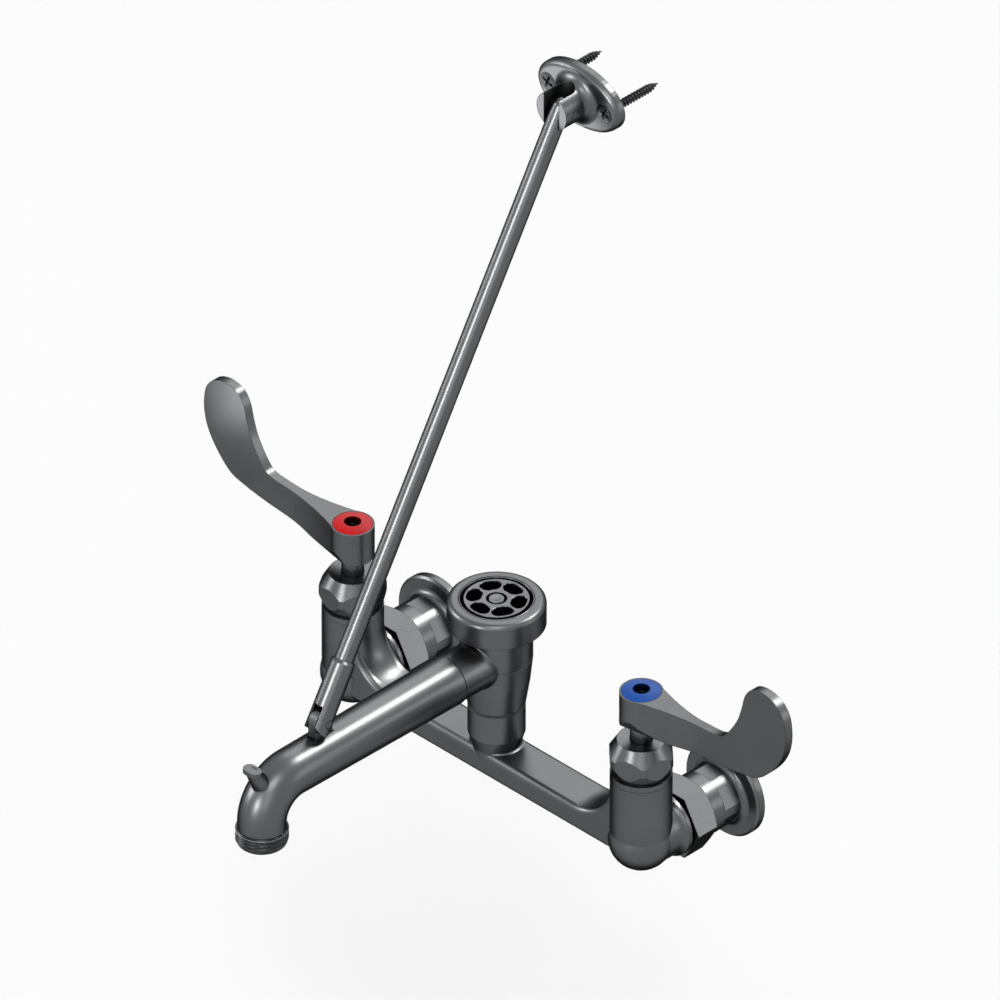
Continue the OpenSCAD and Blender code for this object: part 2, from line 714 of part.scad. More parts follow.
module handle_shape() difference() {
    union() {
        cylinder(r = hub_r, h = hub_h);
        intersection() {
            translate([0, hub_r, 0]) rotate([90, 0, 0])
                linear_extrude(height = 2 * hub_r) blade_outline();
            translate([0, 0, -cut]) linear_extrude(height = blade_rise + 2 * cut) arm_plan();
        }
    }
    translate([0, 0, -cut]) cylinder(r = broach_r + fit_gap, h = broach_h + fit_gap + cut);
    translate([0, 0, -cut]) cylinder(r = handle_screw_r + fit_gap, h = hub_h + cut);
    translate([0, 0, broach_h + fit_gap + hub_web_t])
        cylinder(r = handle_screw_head_r + pass_gap, h = hub_h);
    translate([0, 0, hub_h - index_t]) cylinder(r = index_r + fit_gap, h = index_t + cut);
    arm_relief();
    mirror([0, 1, 0]) arm_relief();
}
module hot_handle() color(chrome) on_valve(-1, hub_z) mirror([1, 0, 0]) handle_shape();
module cold_handle() color(chrome) on_valve(1, hub_z) handle_shape();

// Index ring: a low dome over the hub, round the screw's hole
index_dome_r = (pow(index_r, 2) + pow(index_crown, 2)) / (2 * index_crown);
module index_ring_shape() difference() {
    intersection() {
        cylinder(r = index_r, h = index_t + 2 * index_crown);
        translate([0, 0, index_t + index_crown - index_dome_r]) sphere(r = index_dome_r);
    }
    translate([0, 0, -cut]) cylinder(r = index_hole_r, h = index_t + 2 * (index_crown + cut));
}
module hot_index_ring() color(hot_red) on_valve(-1, hub_top - index_t) index_ring_shape();
module cold_index_ring() color(cold_blue) on_valve(1, hub_top - index_t) index_ring_shape();

// Handle screw with a cross recess
recess_w = 1.3;
recess_share = 1.4;
module handle_screw(side) color(black_steel) on_valve(side, 0) difference() {
    union() {
        translate([0, 0, hub_z + fit_gap]) cylinder(r = handle_screw_r,
            h = broach_h + hub_web_t);
        translate([0, 0, hub_z + broach_h + fit_gap + hub_web_t])
            cylinder(r = handle_screw_head_r, h = handle_screw_head_h);
    }
    for (turn = [0, 90]) rotate([0, 0, turn])
        translate([0, 0, hub_z + broach_h + hub_web_t + handle_screw_head_h])
            cube([handle_screw_head_r * recess_share, recess_w, handle_screw_head_h], center = true);
}
module hot_handle_screw() handle_screw(-1);
module cold_handle_screw() handle_screw(1);

gasket_inset = 0.2;
module breaker_gasket() color(rubber) on_riser(riser_top)
    ring(riser_r - gasket_inset, breaker_thread_r + fit_gap, gasket_t);

// Breaker body: tapered foot, grooved straight top, the float's seat inside and the spout branch
groove_w = 0.7;
groove_t = 0.35;
bulge_z = (breaker_foot + breaker_crease_z) / 2;
bulge_r = (breaker_foot_r + breaker_r) / 2 + breaker_bulge;
module breaker_body() color(chrome) difference() {
    union() {
        on_riser(0) rotate_extrude() polygon([
            [0, breaker_foot - breaker_thread_h], [breaker_thread_r, breaker_foot - breaker_thread_h],
            [breaker_thread_r, breaker_foot], [breaker_foot_r, breaker_foot],
            [bulge_r, bulge_z], [breaker_r, breaker_crease_z - groove_w / 2],
            [breaker_r - groove_t, breaker_crease_z],
            [breaker_r, breaker_crease_z + groove_w / 2], [breaker_r, breaker_top],
            [0, breaker_top]
        ]);
        on_spout(valve_reach) cylinder(r = branch_r, h = branch_front - valve_reach);
        on_spout(valve_reach) cylinder(r = nipple_r,
            h = spout_rear + nipple_length - valve_reach);
    }
    on_riser(breaker_foot - breaker_thread_h - cut) cylinder(r = breaker_bore_r,
        h = breaker_top);
    difference() {
        on_riser(float_seat_z - float_seat_h) cylinder(r = float_chamber_r, h = breaker_top);
        on_riser(float_seat_z - float_seat_h - cut) cylinder(r = breaker_bore_r + float_seat_w,
            h = float_seat_h + cut);
    }
    on_riser(vent_plate_z) cylinder(r = vent_thread_r + fit_gap, h = breaker_top);
    on_spout(valve_reach) cylinder(r = branch_bore_r,
        h = spout_rear + nipple_length - valve_reach + cut);
}

// Float: a lower plate over the seat, a stem guided by the vent plate and an upper plate
float_plate_z = float_seat_z + run_gap + float_seal_t;
upper_plate_z = vent_plate_z - float_travel - float_seal_t - float_plate_t - 2 * run_gap;
float_top_z = vent_plate_z + vent_plate_t + float_travel;
module breaker_float() color(brass) on_riser(0) union() {
    translate([0, 0, float_plate_z]) cylinder(r = float_r, h = float_plate_t);
    translate([0, 0, float_plate_z]) cylinder(r = float_stem_r, h = float_top_z - float_plate_z);
    translate([0, 0, upper_plate_z]) cylinder(r = upper_seal_r, h = float_plate_t);
}
module float_lower_seal() color(rubber) on_riser(float_seat_z + run_gap)
    cylinder(r = float_r, h = float_seal_t);
module float_upper_seal() color(rubber) on_riser(upper_plate_z + float_plate_t)
    ring(upper_seal_r, float_stem_r, float_seal_t);

// Vent plate: air holes round a hub that guides the float and carries the cap
hub_cover_t = 3;
vent_hub_top = cap_top - cap_plate_t - hub_cover_t;
module vent_plate() color(brass) on_riser(0) difference() {
    union() {
        translate([0, 0, vent_plate_z]) cylinder(r = vent_thread_r, h = vent_plate_t);
        translate([0, 0, vent_plate_z]) cylinder(r = vent_hub_r, h = vent_hub_top - vent_plate_z);
    }
    translate([0, 0, vent_plate_z - cut]) cylinder(r = float_stem_r + run_gap,
        h = float_top_z + float_travel + pass_gap - vent_plate_z + cut);
    for (i = [0 : vent_holes - 1]) rotate([0, 0, i * 360 / vent_holes])
        translate([vent_circle_r, 0, vent_plate_z - cut])
            cylinder(r = vent_hole_r, h = vent_plate_t + 2 * cut);
}

// Cap: a rounded rain cap whose skirt hangs over the breaker body and leaves a ring for air
module cap_section() union() {
    translate([0, cap_bottom]) square([cap_r, cap_h - cap_edge_r]);
    translate([0, cap_bottom]) square([cap_r - cap_edge_r, cap_h]);
    translate([cap_r - cap_edge_r, cap_top - cap_edge_r]) circle(r = cap_edge_r);
}
cap_roof = cap_top - cap_plate_t - cap_wall;
module breaker_cap() color(chrome) on_riser(0) difference() {
    rotate_extrude() intersection() {
        cap_section();
        square([cap_r + cut, cap_top + cut]);
    }
    difference() {
        translate([0, 0, cap_bottom - cut]) cylinder(r = cap_r - cap_wall,
            h = cap_roof - cap_bottom + cut);
        translate([0, 0, vent_plate_z + vent_plate_t]) cylinder(r = cap_boss_r, h = cap_h);
    }
    translate([0, 0, cap_bottom - cut]) cylinder(r = vent_hub_r + fit_gap,
        h = vent_hub_top + fit_gap - cap_bottom + cut);
    translate([0, 0, cap_top - cap_plate_t]) cylinder(r = cap_plate_r + fit_gap,
        h = cap_plate_t + cut);
}

// Plain disc with two raised rings where a badge would sit
plate_ring_w = 1;
plate_ring_shares = [0.45, 0.82];
module cap_plate() color(chrome) on_riser(cap_top - cap_plate_t) difference() {
    cylinder(r = cap_plate_r, h = cap_plate_t);
    for (share = plate_ring_shares) translate([0, 0, cap_plate_t / 2])
        ring(cap_plate_r * share + plate_ring_w, cap_plate_r * share, cap_plate_t);
}

module spout_gasket() color(rubber) on_spout(branch_front)
    ring(branch_r - gasket_inset, nipple_r + fit_gap, spout_rear - branch_front);

// Spout: straight tapered tube, quarter bend, short drop, brace lug and pail hook
module bend(r) translate([0, -bend_y, bend_z]) rotate([90, 0, -90])
    rotate_extrude(angle = 90) translate([bend_r, 0]) circle(r = r);

module spout_lug() translate([-lug_t / 2, -lower_pin_reach, 0]) rotate([90, 0, 90])
    linear_extrude(height = lug_t) union() {
        translate([0, lower_pin_z]) circle(r = lug_r);
        translate([-lug_r, spout_z]) square([2 * lug_r, lower_pin_z - spout_z]);
    }

// Pail hook: a horn that leans out over the bend, with a flat oblong head
module hook_head() linear_extrude(height = hook_head_t) union() {
    for (side = [-1, 1]) translate([side * (hook_head_w - hook_head_d) / 2, 0])
        circle(r = hook_head_d / 2);
    square([hook_head_w - hook_head_d, hook_head_d], center = true);
}

module pail_hook() {
    translate([0, hook_foot_back - spout_reach, spout_z]) rotate([hook_lean, 0, 0])
        cylinder(r1 = hook_foot_r, r2 = hook_neck_r,
            h = (hook_neck_top + hook_head_t / 2 - spout_z) / cos(hook_lean));
    translate([0, -spout_reach - hook_tip_out, hook_neck_top]) hook_head();
}

module spout() color(chrome) difference() {
    union() {
        on_spout(spout_rear) cylinder(r1 = spout_rear_r, r2 = spout_r, h = bend_y - spout_rear);
        bend(spout_r);
        translate([0, -spout_reach, hose_top]) cylinder(r = spout_r, h = bend_z - hose_top);
        translate([0, -spout_reach, hose_bottom + hose_washer_t])
            cylinder(r = hose_nipple_r, h = bend_z - hose_bottom - hose_washer_t);
        spout_lug();
        pail_hook();
    }
    on_spout(spout_rear - cut) cylinder(r = spout_bore_r, h = bend_y - spout_rear + cut);
    on_spout(spout_rear - cut) cylinder(r = nipple_r + fit_gap, h = nipple_length + fit_gap + cut);
    bend(spout_bore_r);
    translate([0, -spout_reach, hose_bottom - cut]) cylinder(r = spout_bore_r,
        h = bend_z - hose_bottom + cut);
    translate([-lug_t, -lower_pin_reach, lower_pin_z]) rotate([0, 90, 0])
        cylinder(r = pin_r + run_gap, h = 2 * lug_t);
}

// Hose outlet: a threaded ring on the end of the spout
module hose_outlet() color(black_steel) translate([0, -spout_reach, hose_bottom]) difference() {
    cylinder(r = hose_r, h = hose_top - hose_bottom);
    translate([0, 0, -cut]) cylinder(r = hose_nipple_r - hose_lip, h = 2 * hose_top);
    translate([0, 0, hose_washer_t]) cylinder(r = hose_nipple_r + fit_gap, h = hose_top);
}
module hose_washer() color(rubber) translate([0, -spout_reach, hose_bottom])
    ring(hose_nipple_r - hose_lip, spout_bore_r, hose_washer_t);

// Pins along X, one pressed into the fork's prongs and one into the bracket's post
module cross_pin(half) translate([-half, 0, 0]) rotate([0, 90, 0])
    cylinder(r = pin_r, h = 2 * half);
module lower_pin() color(chrome) translate([0, -lower_pin_reach, lower_pin_z])
    cross_pin(lower_pin_half);
module upper_pin() color(chrome) translate([0, -upper_pin_reach, upper_pin_z])
    cross_pin(upper_pin_half);

// Fork: a round socket for the rod that splits into two prongs round the lug
module brace_fork() color(chrome) on_rod(0) difference() {
    union() {
        intersection() {
            translate([0, 0, -fork_eye_r]) cylinder(r = fork_r, h = 2 * fork_eye_r);
            rotate([0, 90, 0]) translate([0, 0, -fork_r - cut])
                cylinder(r = fork_eye_r, h = 2 * (fork_r + cut));
        }
        cylinder(r = fork_r, h = fork_length - fork_chamfer);
        translate([0, 0, fork_length - fork_chamfer])
            cylinder(r1 = fork_r, r2 = fork_r - fork_chamfer, h = fork_chamfer);
    }
    translate([-fork_slot_w / 2, -fork_eye_r - cut, -fork_eye_r - cut])
        cube([fork_slot_w, 2 * (fork_eye_r + cut), fork_eye_r + fork_crotch + cut]);
    translate([-fork_r - cut, 0, 0]) rotate([0, 90, 0])
        cylinder(r = pin_r, h = 2 * (fork_r + cut));
    translate([0, 0, fork_length - rod_thread_h - cut]) cylinder(r = rod_thread_r + fit_gap,
        h = rod_thread_h + 2 * cut);
}

// Rod: threaded into the fork, with a rounded, cross-drilled upper end
module brace_rod() color(chrome) difference() {
    union() {
        on_rod(fork_length - rod_thread_h) cylinder(r = rod_thread_r, h = rod_thread_h + cut);
        on_rod(fork_length) cylinder(r = rod_r, h = pin_distance - fork_length);
        on_rod(pin_distance) sphere(r = rod_r);
    }
    translate([-2 * rod_r, -upper_pin_reach, upper_pin_z]) rotate([0, 90, 0])
        cylinder(r = pin_r + run_gap, h = 4 * rod_r);
}

// Wall bracket: oval flange and a round post, slotted for the rod and bored for the pin.
// In this module's own frame X is along the wall, Y is up and Z comes out of the wall.
bracket_edge = 3;
edge_turns = [0, 22.5, 45, 67.5, 90];
flange_steps = 60;
module bracket_flange(inset, t) linear_extrude(height = t)
    polygon([for (i = [0 : flange_steps - 1])
        [(bracket_half_w - inset) * cos(i * 360 / flange_steps),
            (bracket_half_h - inset) * sin(i * 360 / flange_steps)]]);

module bracket_slot() rotate([90, 0, 0]) translate([0, 0, -bracket_half_h])
    linear_extrude(height = 2 * bracket_half_h) union() {
        translate([0, slot_back + bracket_slot_w / 2]) circle(r = bracket_slot_w / 2);
        translate([-bracket_slot_w / 2, slot_back + bracket_slot_w / 2])
            square([bracket_slot_w, upper_pin_reach + post_nose]);
    }

module bracket_solid() difference() {
    union() {
        hull() for (turn = edge_turns) bracket_flange(bracket_edge * (1 - cos(turn)),
            bracket_t - bracket_edge * (1 - sin(turn)));
        cylinder(r = post_r, h = upper_pin_reach + post_nose);
        translate([0, 0, bracket_t]) foot_fillet(post_r, post_fillet_r);
    }
    bracket_slot();
    translate([-post_r - cut, 0, upper_pin_reach]) rotate([0, 90, 0])
        cylinder(r = pin_r, h = 2 * (post_r + cut));
    for (side = [-1, 1]) translate([side * screw_spacing / 2, 0, 0]) {
        translate([0, 0, -cut]) cylinder(r = screw_r + fit_gap, h = bracket_t + 2 * cut);
        translate([0, 0, bracket_t - screw_head_t]) cylinder(r1 = screw_r + fit_gap,
            r2 = screw_head_r + fit_gap, h = screw_head_t);
        translate([0, 0, bracket_t]) cylinder(r = screw_head_r + fit_gap, h = bracket_t);
    }
}
module on_bracket() translate([0, 0, upper_pin_z]) rotate([90, 0, 0]) children();
module wall_bracket() color(chrome) on_bracket() bracket_solid();

// Two countersunk wood screws with cross recesses
cross_turn = 20;
module wall_screw() difference() {
    union() {
        translate([0, 0, -screw_reach]) cylinder(r1 = 0, r2 = screw_r, h = screw_point);
        translate([0, 0, screw_point - screw_reach])
            cylinder(r = screw_r, h = screw_reach - screw_point);
        translate([0, 0, -screw_point])
            cylinder(r = screw_r - shank_step, h = screw_point + bracket_t - screw_head_t / 2);
        translate([0, 0, bracket_t - screw_head_t])
            cylinder(r1 = screw_r, r2 = screw_head_r, h = screw_head_t);
    }
    for (turn = [0, 90]) translate([0, 0, bracket_t]) rotate([0, 0, cross_turn + turn])
        cube([screw_head_r * recess_share, recess_w, screw_head_t], center = true);
}
module wall_screws() color(black_steel) on_bracket()
    for (side = [-1, 1]) translate([side * screw_spacing / 2, 0, 0]) wall_screw();

body();
hot_wall_flange();
cold_wall_flange();
hot_tailpiece();
cold_tailpiece();
hot_inlet_washer();
cold_inlet_washer();
hot_coupling_nut();
cold_coupling_nut();
hot_bonnet();
cold_bonnet();
hot_cartridge();
cold_cartridge();
hot_seat_seal();
cold_seat_seal();
hot_fixed_disc();
cold_fixed_disc();
hot_moving_disc();
cold_moving_disc();
hot_stem();
cold_stem();
hot_stem_ring();
cold_stem_ring();
hot_handle();
cold_handle();
hot_index_ring();
cold_index_ring();
hot_handle_screw();
cold_handle_screw();
breaker_gasket();
breaker_body();
breaker_float();
float_lower_seal();
float_upper_seal();
vent_plate();
breaker_cap();
cap_plate();
spout_gasket();
spout();
hose_outlet();
hose_washer();
lower_pin();
brace_fork();
brace_rod();
upper_pin();
wall_bracket();
wall_screws();
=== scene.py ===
"""Service sink faucet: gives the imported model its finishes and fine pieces, and sets the stage.

Lengths are in metres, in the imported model's own frame: the origin on the wall face midway
between the two inlets, X along the wall to the right, Y into the wall, Z up.
"""

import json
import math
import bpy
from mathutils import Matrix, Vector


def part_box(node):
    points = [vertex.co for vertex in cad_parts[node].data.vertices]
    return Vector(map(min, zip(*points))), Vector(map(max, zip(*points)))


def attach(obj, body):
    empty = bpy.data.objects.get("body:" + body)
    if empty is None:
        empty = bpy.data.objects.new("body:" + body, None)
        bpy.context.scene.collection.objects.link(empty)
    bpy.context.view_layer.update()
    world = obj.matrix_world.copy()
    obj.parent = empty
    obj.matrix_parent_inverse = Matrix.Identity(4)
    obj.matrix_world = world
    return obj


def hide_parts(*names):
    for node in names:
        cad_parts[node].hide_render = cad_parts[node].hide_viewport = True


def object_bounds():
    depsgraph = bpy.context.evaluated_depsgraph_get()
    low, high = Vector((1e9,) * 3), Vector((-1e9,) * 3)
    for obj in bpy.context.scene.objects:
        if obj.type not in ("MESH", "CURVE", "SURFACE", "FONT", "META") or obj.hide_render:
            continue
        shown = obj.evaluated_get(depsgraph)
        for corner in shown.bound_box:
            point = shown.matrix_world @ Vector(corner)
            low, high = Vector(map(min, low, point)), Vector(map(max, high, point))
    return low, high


bl_info = {
    "name": "Service sink faucet",
    "version": (1, 0, 0),
    "blender": (4, 5, 0),
    "location": "3D View > Sidebar > Faucet",
    "description": "Finishes, fine pieces and stage of a wall-mounted service sink faucet",
    "category": "Object",
}

import bmesh
import bpy
import numpy as np
from bpy.props import FloatProperty, FloatVectorProperty, IntProperty, PointerProperty
from mathutils import Vector

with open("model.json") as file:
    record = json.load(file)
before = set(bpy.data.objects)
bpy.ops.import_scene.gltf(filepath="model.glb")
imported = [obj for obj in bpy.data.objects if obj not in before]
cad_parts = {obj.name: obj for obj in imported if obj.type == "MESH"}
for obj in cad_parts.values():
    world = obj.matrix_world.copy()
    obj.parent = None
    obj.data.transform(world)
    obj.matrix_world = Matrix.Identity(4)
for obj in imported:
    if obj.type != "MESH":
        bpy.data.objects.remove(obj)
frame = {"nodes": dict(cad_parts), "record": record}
CAD_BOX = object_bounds()
MM = 0.001
TURN = 2 * math.pi

# Fine pieces: the soft edge of a slot, the halvings that find where a boss meets the casting,
# and how deep a fillet's hidden points lie, as a share of its size.
SLOT_EDGE = 0.12 * MM
HALVINGS = 34
BURIED = 0.4

# Plating: how far its clouds lighten and darken it, and what they and the grain do to its
# roughness. Then, each with the share of the colour that it comes down to, the painted shade on
# undersides (which are also made rougher), the painted shade lines along edges, the painted
# shade in crevices, and the reflections at grazing angles.
CLOUD_TONE, CLOUD_ROUGHNESS, GRAIN_ROUGHNESS = 0.06, 0.012, 0.03
UNDERSIDE_SHADE_TONE, UNDERSIDE_SHADE_SHARE, UNDERSIDE_ROUGHNESS = 0.2, 0.85, 0.12
EDGE_SHADE_TONE, EDGE_SHADE_SHARE = 0.2, 0.8
CREVICE_SHADE_TONE, CREVICE_SHADE_DEPTH = 0.15, 2.5 * MM
GRAZING_TONE = 0.7

# The likeness of the rounded and the true normal on an edge and on a face, and the normal's
# height where a surface counts as facing down and where it no longer does.
EDGE_LIKENESS = (0.92, 0.997)
FACING_DOWN = (-0.62, -0.2)

# Enamel: its colour, and the height over which the plating gives way to it.
ENAMEL = (0.004, 0.004, 0.0045, 1)
ENAMEL_EDGE = 0.1 * MM


def node_box(name):
    """Lowest and highest corner of a CAD node, as arrays."""
    lo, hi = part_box(name)
    return np.array(lo), np.array(hi)


# Surfaces


def grid_faces(rows, columns, wrap_rows, wrap_columns):
    """Quads between neighbouring points of a grid. A wrapped direction joins its last line to
    its first."""
    i = np.arange(rows if wrap_rows else rows - 1)
    j = np.arange(columns if wrap_columns else columns - 1)
    i, j = (x.ravel() for x in np.meshgrid(i, j, indexing="ij"))
    i2, j2 = (i + 1) % rows, (j + 1) % columns
    return np.stack(
        [i * columns + j, i2 * columns + j, i2 * columns + j2, i * columns + j2], 1
    )


def surface(points, wrap_rows=False, wrap_columns=True):
    """Vertices and quads of a grid of points with shape (rows, columns, 3)."""
    rows, columns = points.shape[:2]
    return points.reshape(-1, 3), grid_faces(rows, columns, wrap_rows, wrap_columns)


def angles(count):
    """Evenly spaced angles of one full turn, the end left out."""
    return np.arange(count) * TURN / count


def revolve(radii, heights, count=96):
    """Each profile point turned about Z: x = r cos a, y = r sin a, z = h."""
    a = angles(count)[None, :]
    r = np.asarray(radii, float)[:, None]
    h = np.asarray(heights, float)[:, None]
    return np.stack([r * np.cos(a), r * np.sin(a), h + 0 * a], -1)


def smooth_step(x, start, end):
    """0 up to start, 1 from end, and 3t^2 - 2t^3 between them."""
    t = np.clip((x - start) / (end - start), 0, 1)
    return t * t * (3 - 2 * t)


def ridge(angle, height, pitch, sharpness):
    """Height of a thread's ridge from 0 to 1: half of 1 - cos of the turn left over from
    height / pitch - angle / full turn, raised to the sharpness."""
    turn = (height / pitch - angle / TURN) * TURN
    return (0.5 - 0.5 * np.cos(turn)) ** sharpness


def cross_recess(x, y, width, reach, depth):
    """Depth of a cross-shaped recess: where the smaller of |x| and |y| is under half the width,
    out to the reach, shallower towards the arms' ends."""
    wall, end, rise = 0.1, 0.15, 0.4
    out = np.hypot(x, y)
    across = np.minimum(abs(x), abs(y)) / width
    arm = 1 - smooth_step(across, 0.5 - wall, 0.5 + wall)
    arm = arm * (1 - smooth_step(out / reach, 1 - end, 1))
    return depth * arm * (1 - rise * out / reach)


def ring_slots(radius, angle, count, middle, half_width, fill):
    """1 inside each of the curved slots spread round a ring, 0 outside: the distance from the
    slot's middle arc, less its half width, with round ends."""
    step = TURN / count
    off = abs((angle % step) - step / 2) * middle - step * middle * fill / 2 + half_width
    away = np.hypot(np.maximum(off, 0), radius - middle) - half_width
    return 1 - smooth_step(away, -SLOT_EDGE, SLOT_EDGE)


def cast_collar(base, axis, outline, spread, host, reach, steps=9):
    """Fillet where a boss runs into a casting. The outline's points are carried along the axis
    until the host's distance is 0, by halving. From there a curve bends from the boss, one
    fillet up, through the corner to the casting, one fillet out: (1-t)^2 S + 2t(1-t) C + t^2 E.
    Two buried points close each section."""
    axis = axis / np.linalg.norm(axis)

    def land(points):
        near, far = np.full(len(points), -reach), np.full(len(points), reach)
        for _ in range(HALVINGS):
            half = (near + far) / 2
            outside = host(points + half[:, None] * axis) > 0
            near, far = np.where(outside, half, near), np.where(outside, far, half)
        return points + half[:, None] * axis

    inner, normal = outline
    corner = land(base + inner)
    end = land(base + inner + spread * normal)
    start = corner - spread * axis
    t = np.linspace(0, 1, steps)[:, None, None]
    arc = (1 - t) ** 2 * start + 2 * t * (1 - t) * corner + t ** 2 * end
    depth = BURIED * spread
    buried = np.stack([end + depth * (axis - normal / 2), start - depth * normal])
    return surface(np.concatenate([arc, buried]), wrap_rows=True)


def round_outline(radius, u, v, count=96):
    """Circle of points u cos a + v sin a, and their outward directions."""
    a = angles(count)[:, None]
    out = np.cos(a) * u + np.sin(a) * v
    return radius * out, out


def oblong_outline(half_u, half_v, corner, u, v, count=24):
    """Rounded rectangle: a quarter turn about each corner's centre, and the outward directions."""
    a = angles(4 * count)[:, None]
    out = np.cos(a) * u + np.sin(a) * v
    middle = (
        np.sign(np.cos(a + 1e-9)) * (half_u - corner) * u
        + np.sign(np.sin(a + 1e-9)) * (half_v - corner) * v
    )
    return middle + corner * out, out


def add_piece(name, parts, material, body, replaced=(), sharp_deg=32):
    """One object from several surfaces, doubles merged and faces turned outwards."""
    starts = np.cumsum([0] + [len(v) for v, _ in parts[:-1]])
    verts = np.concatenate([v for v, _ in parts])
    faces = np.concatenate([f + s for (_, f), s in zip(parts, starts)])
    mesh = bpy.data.meshes.new(name)
    mesh.from_pydata(verts.tolist(), [], faces.tolist())
    work = bmesh.new()
    work.from_mesh(mesh)
    bmesh.ops.remove_doubles(work, verts=work.verts, dist=1e-7)
    bmesh.ops.recalc_face_normals(work, faces=work.faces)
    work.to_mesh(mesh)
    work.free()
    mesh.shade_smooth()
    mesh.set_sharp_from_angle(angle=math.radians(sharp_deg))
    mesh.materials.append(material)
    piece = bpy.data.objects.new(name, mesh)
    bpy.context.scene.collection.objects.link(piece)
    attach(piece, body)
    if replaced:
        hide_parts(*replaced)
    return piece


# Materials


class Graph:
    """Adds nodes to a material's tree and joins them."""

    def __init__(self, name):
        self.material = bpy.data.materials.new(name)
        self.material.use_nodes = True
        self.tree = self.material.node_tree
        self.shader = self.tree.nodes["Principled BSDF"]
        coordinates = self.add("ShaderNodeTexCoord").outputs
        self.place, self.facing = coordinates["Object"], coordinates["Normal"]

    def add(self, kind, links=None, values=None, **settings):
        made = self.tree.nodes.new(kind)
        for key, value in settings.items():
            setattr(made, key, value)
        for key, value in (values or {}).items():
            made.inputs[key].default_value = value
        for key, source in (links or {}).items():
            self.tree.links.new(source, made.inputs[key])
        return made

    def noise(self, scale, detail=3.0, stretch=(1, 1, 1)):
        """Noise over the object's own coordinates, drawn out along an axis by its stretch."""
        spread = self.add(
            "ShaderNodeMapping", {"Vector": self.place}, {"Scale": stretch}
        )
        made = self.add(
            "ShaderNodeTexNoise",
            {"Vector": spread.outputs["Vector"]},
            {"Scale": scale, "Detail": detail},
        )
        return made.outputs["Fac"]

    def span(self, source, low, high, start=0.3, end=0.7):
        """Maps a value from start..end to low..high, and holds it there."""
        made = self.add(
            "ShaderNodeMapRange",
            {"Value": source},
            {"From Min": start, "From Max": end, "To Min": low, "To Max": high},
        )
        return made.outputs["Result"]

    def math(self, operation, a, b):
        made = self.add("ShaderNodeMath", operation=operation)
        for socket, value in zip(made.inputs, (a, b)):
            if isinstance(value, (int, float)):
                socket.default_value = value
            else:
                self.tree.links.new(value, socket)
        return made.outputs["Value"]

    def mix(self, factor, a, b):
        """Colour a where the factor is 0 and b where it is 1."""
        made = self.add("ShaderNodeMix", {"Factor": factor}, data_type="RGBA")
        for socket, value in ((made.inputs[6], a), (made.inputs[7], b)):
            if isinstance(value, tuple):
                socket.default_value = value
            else:
                self.tree.links.new(value, socket)
        return made.outputs[2]

    def set(self, **sockets):
        """Constants on the shader's own sockets."""
        for key, value in sockets.items():
            self.shader.inputs[key.replace("_", " ")].default_value = value

    def link(self, source, socket):
        self.tree.links.new(source, self.shader.inputs[socket])

    def edges(self, radius):
        """1 on sharp edges and 0 on faces: how far the rounded normal leaves the true one."""
        rounded = self.add("ShaderNodeBevel", values={"Radius": radius}, samples=4)
        true = self.add("ShaderNodeNewGeometry").outputs["Normal"]
        likeness = self.add("ShaderNodeVectorMath", operation="DOT_PRODUCT")
        self.tree.links.new(rounded.outputs["Normal"], likeness.inputs[0])
        self.tree.links.new(true, likeness.inputs[1])
        edge = self.span(likeness.outputs["Value"], 1, 0, *EDGE_LIKENESS)
        return rounded.outputs["Normal"], edge

    def underside(self):
        """1 where the surface faces well downwards: there the plating gets painted shade and more
        roughness.
        """
        parts = self.add("ShaderNodeSeparateXYZ", {"Vector": self.facing})
        return self.span(parts.outputs["Z"], 1, 0, *FACING_DOWN)

    def crevice_shade(self, distance, closed, clear):
        """1 where the surroundings within a distance close a point in, 0 where they don't: the
        mask for painted shade in crevices.
        """
        seen = self.add(
            "ShaderNodeAmbientOcclusion", values={"Distance": distance}, samples=6
        )
        return self.span(seen.outputs["AO"], 1, 0, closed, clear)

    def bump(self, height, strength, depth, normal=None):
        links = {"Height": height}
        if normal:
            links["Normal"] = normal
        made = self.add(
            "ShaderNodeBump", links, {"Strength": strength, "Distance": depth}
        )
        self.link(made.outputs["Normal"], "Normal")


def tone(colour, share):
    """A colour with each part multiplied by a share."""
    return (*(c * share for c in colour[:3]), 1.0)


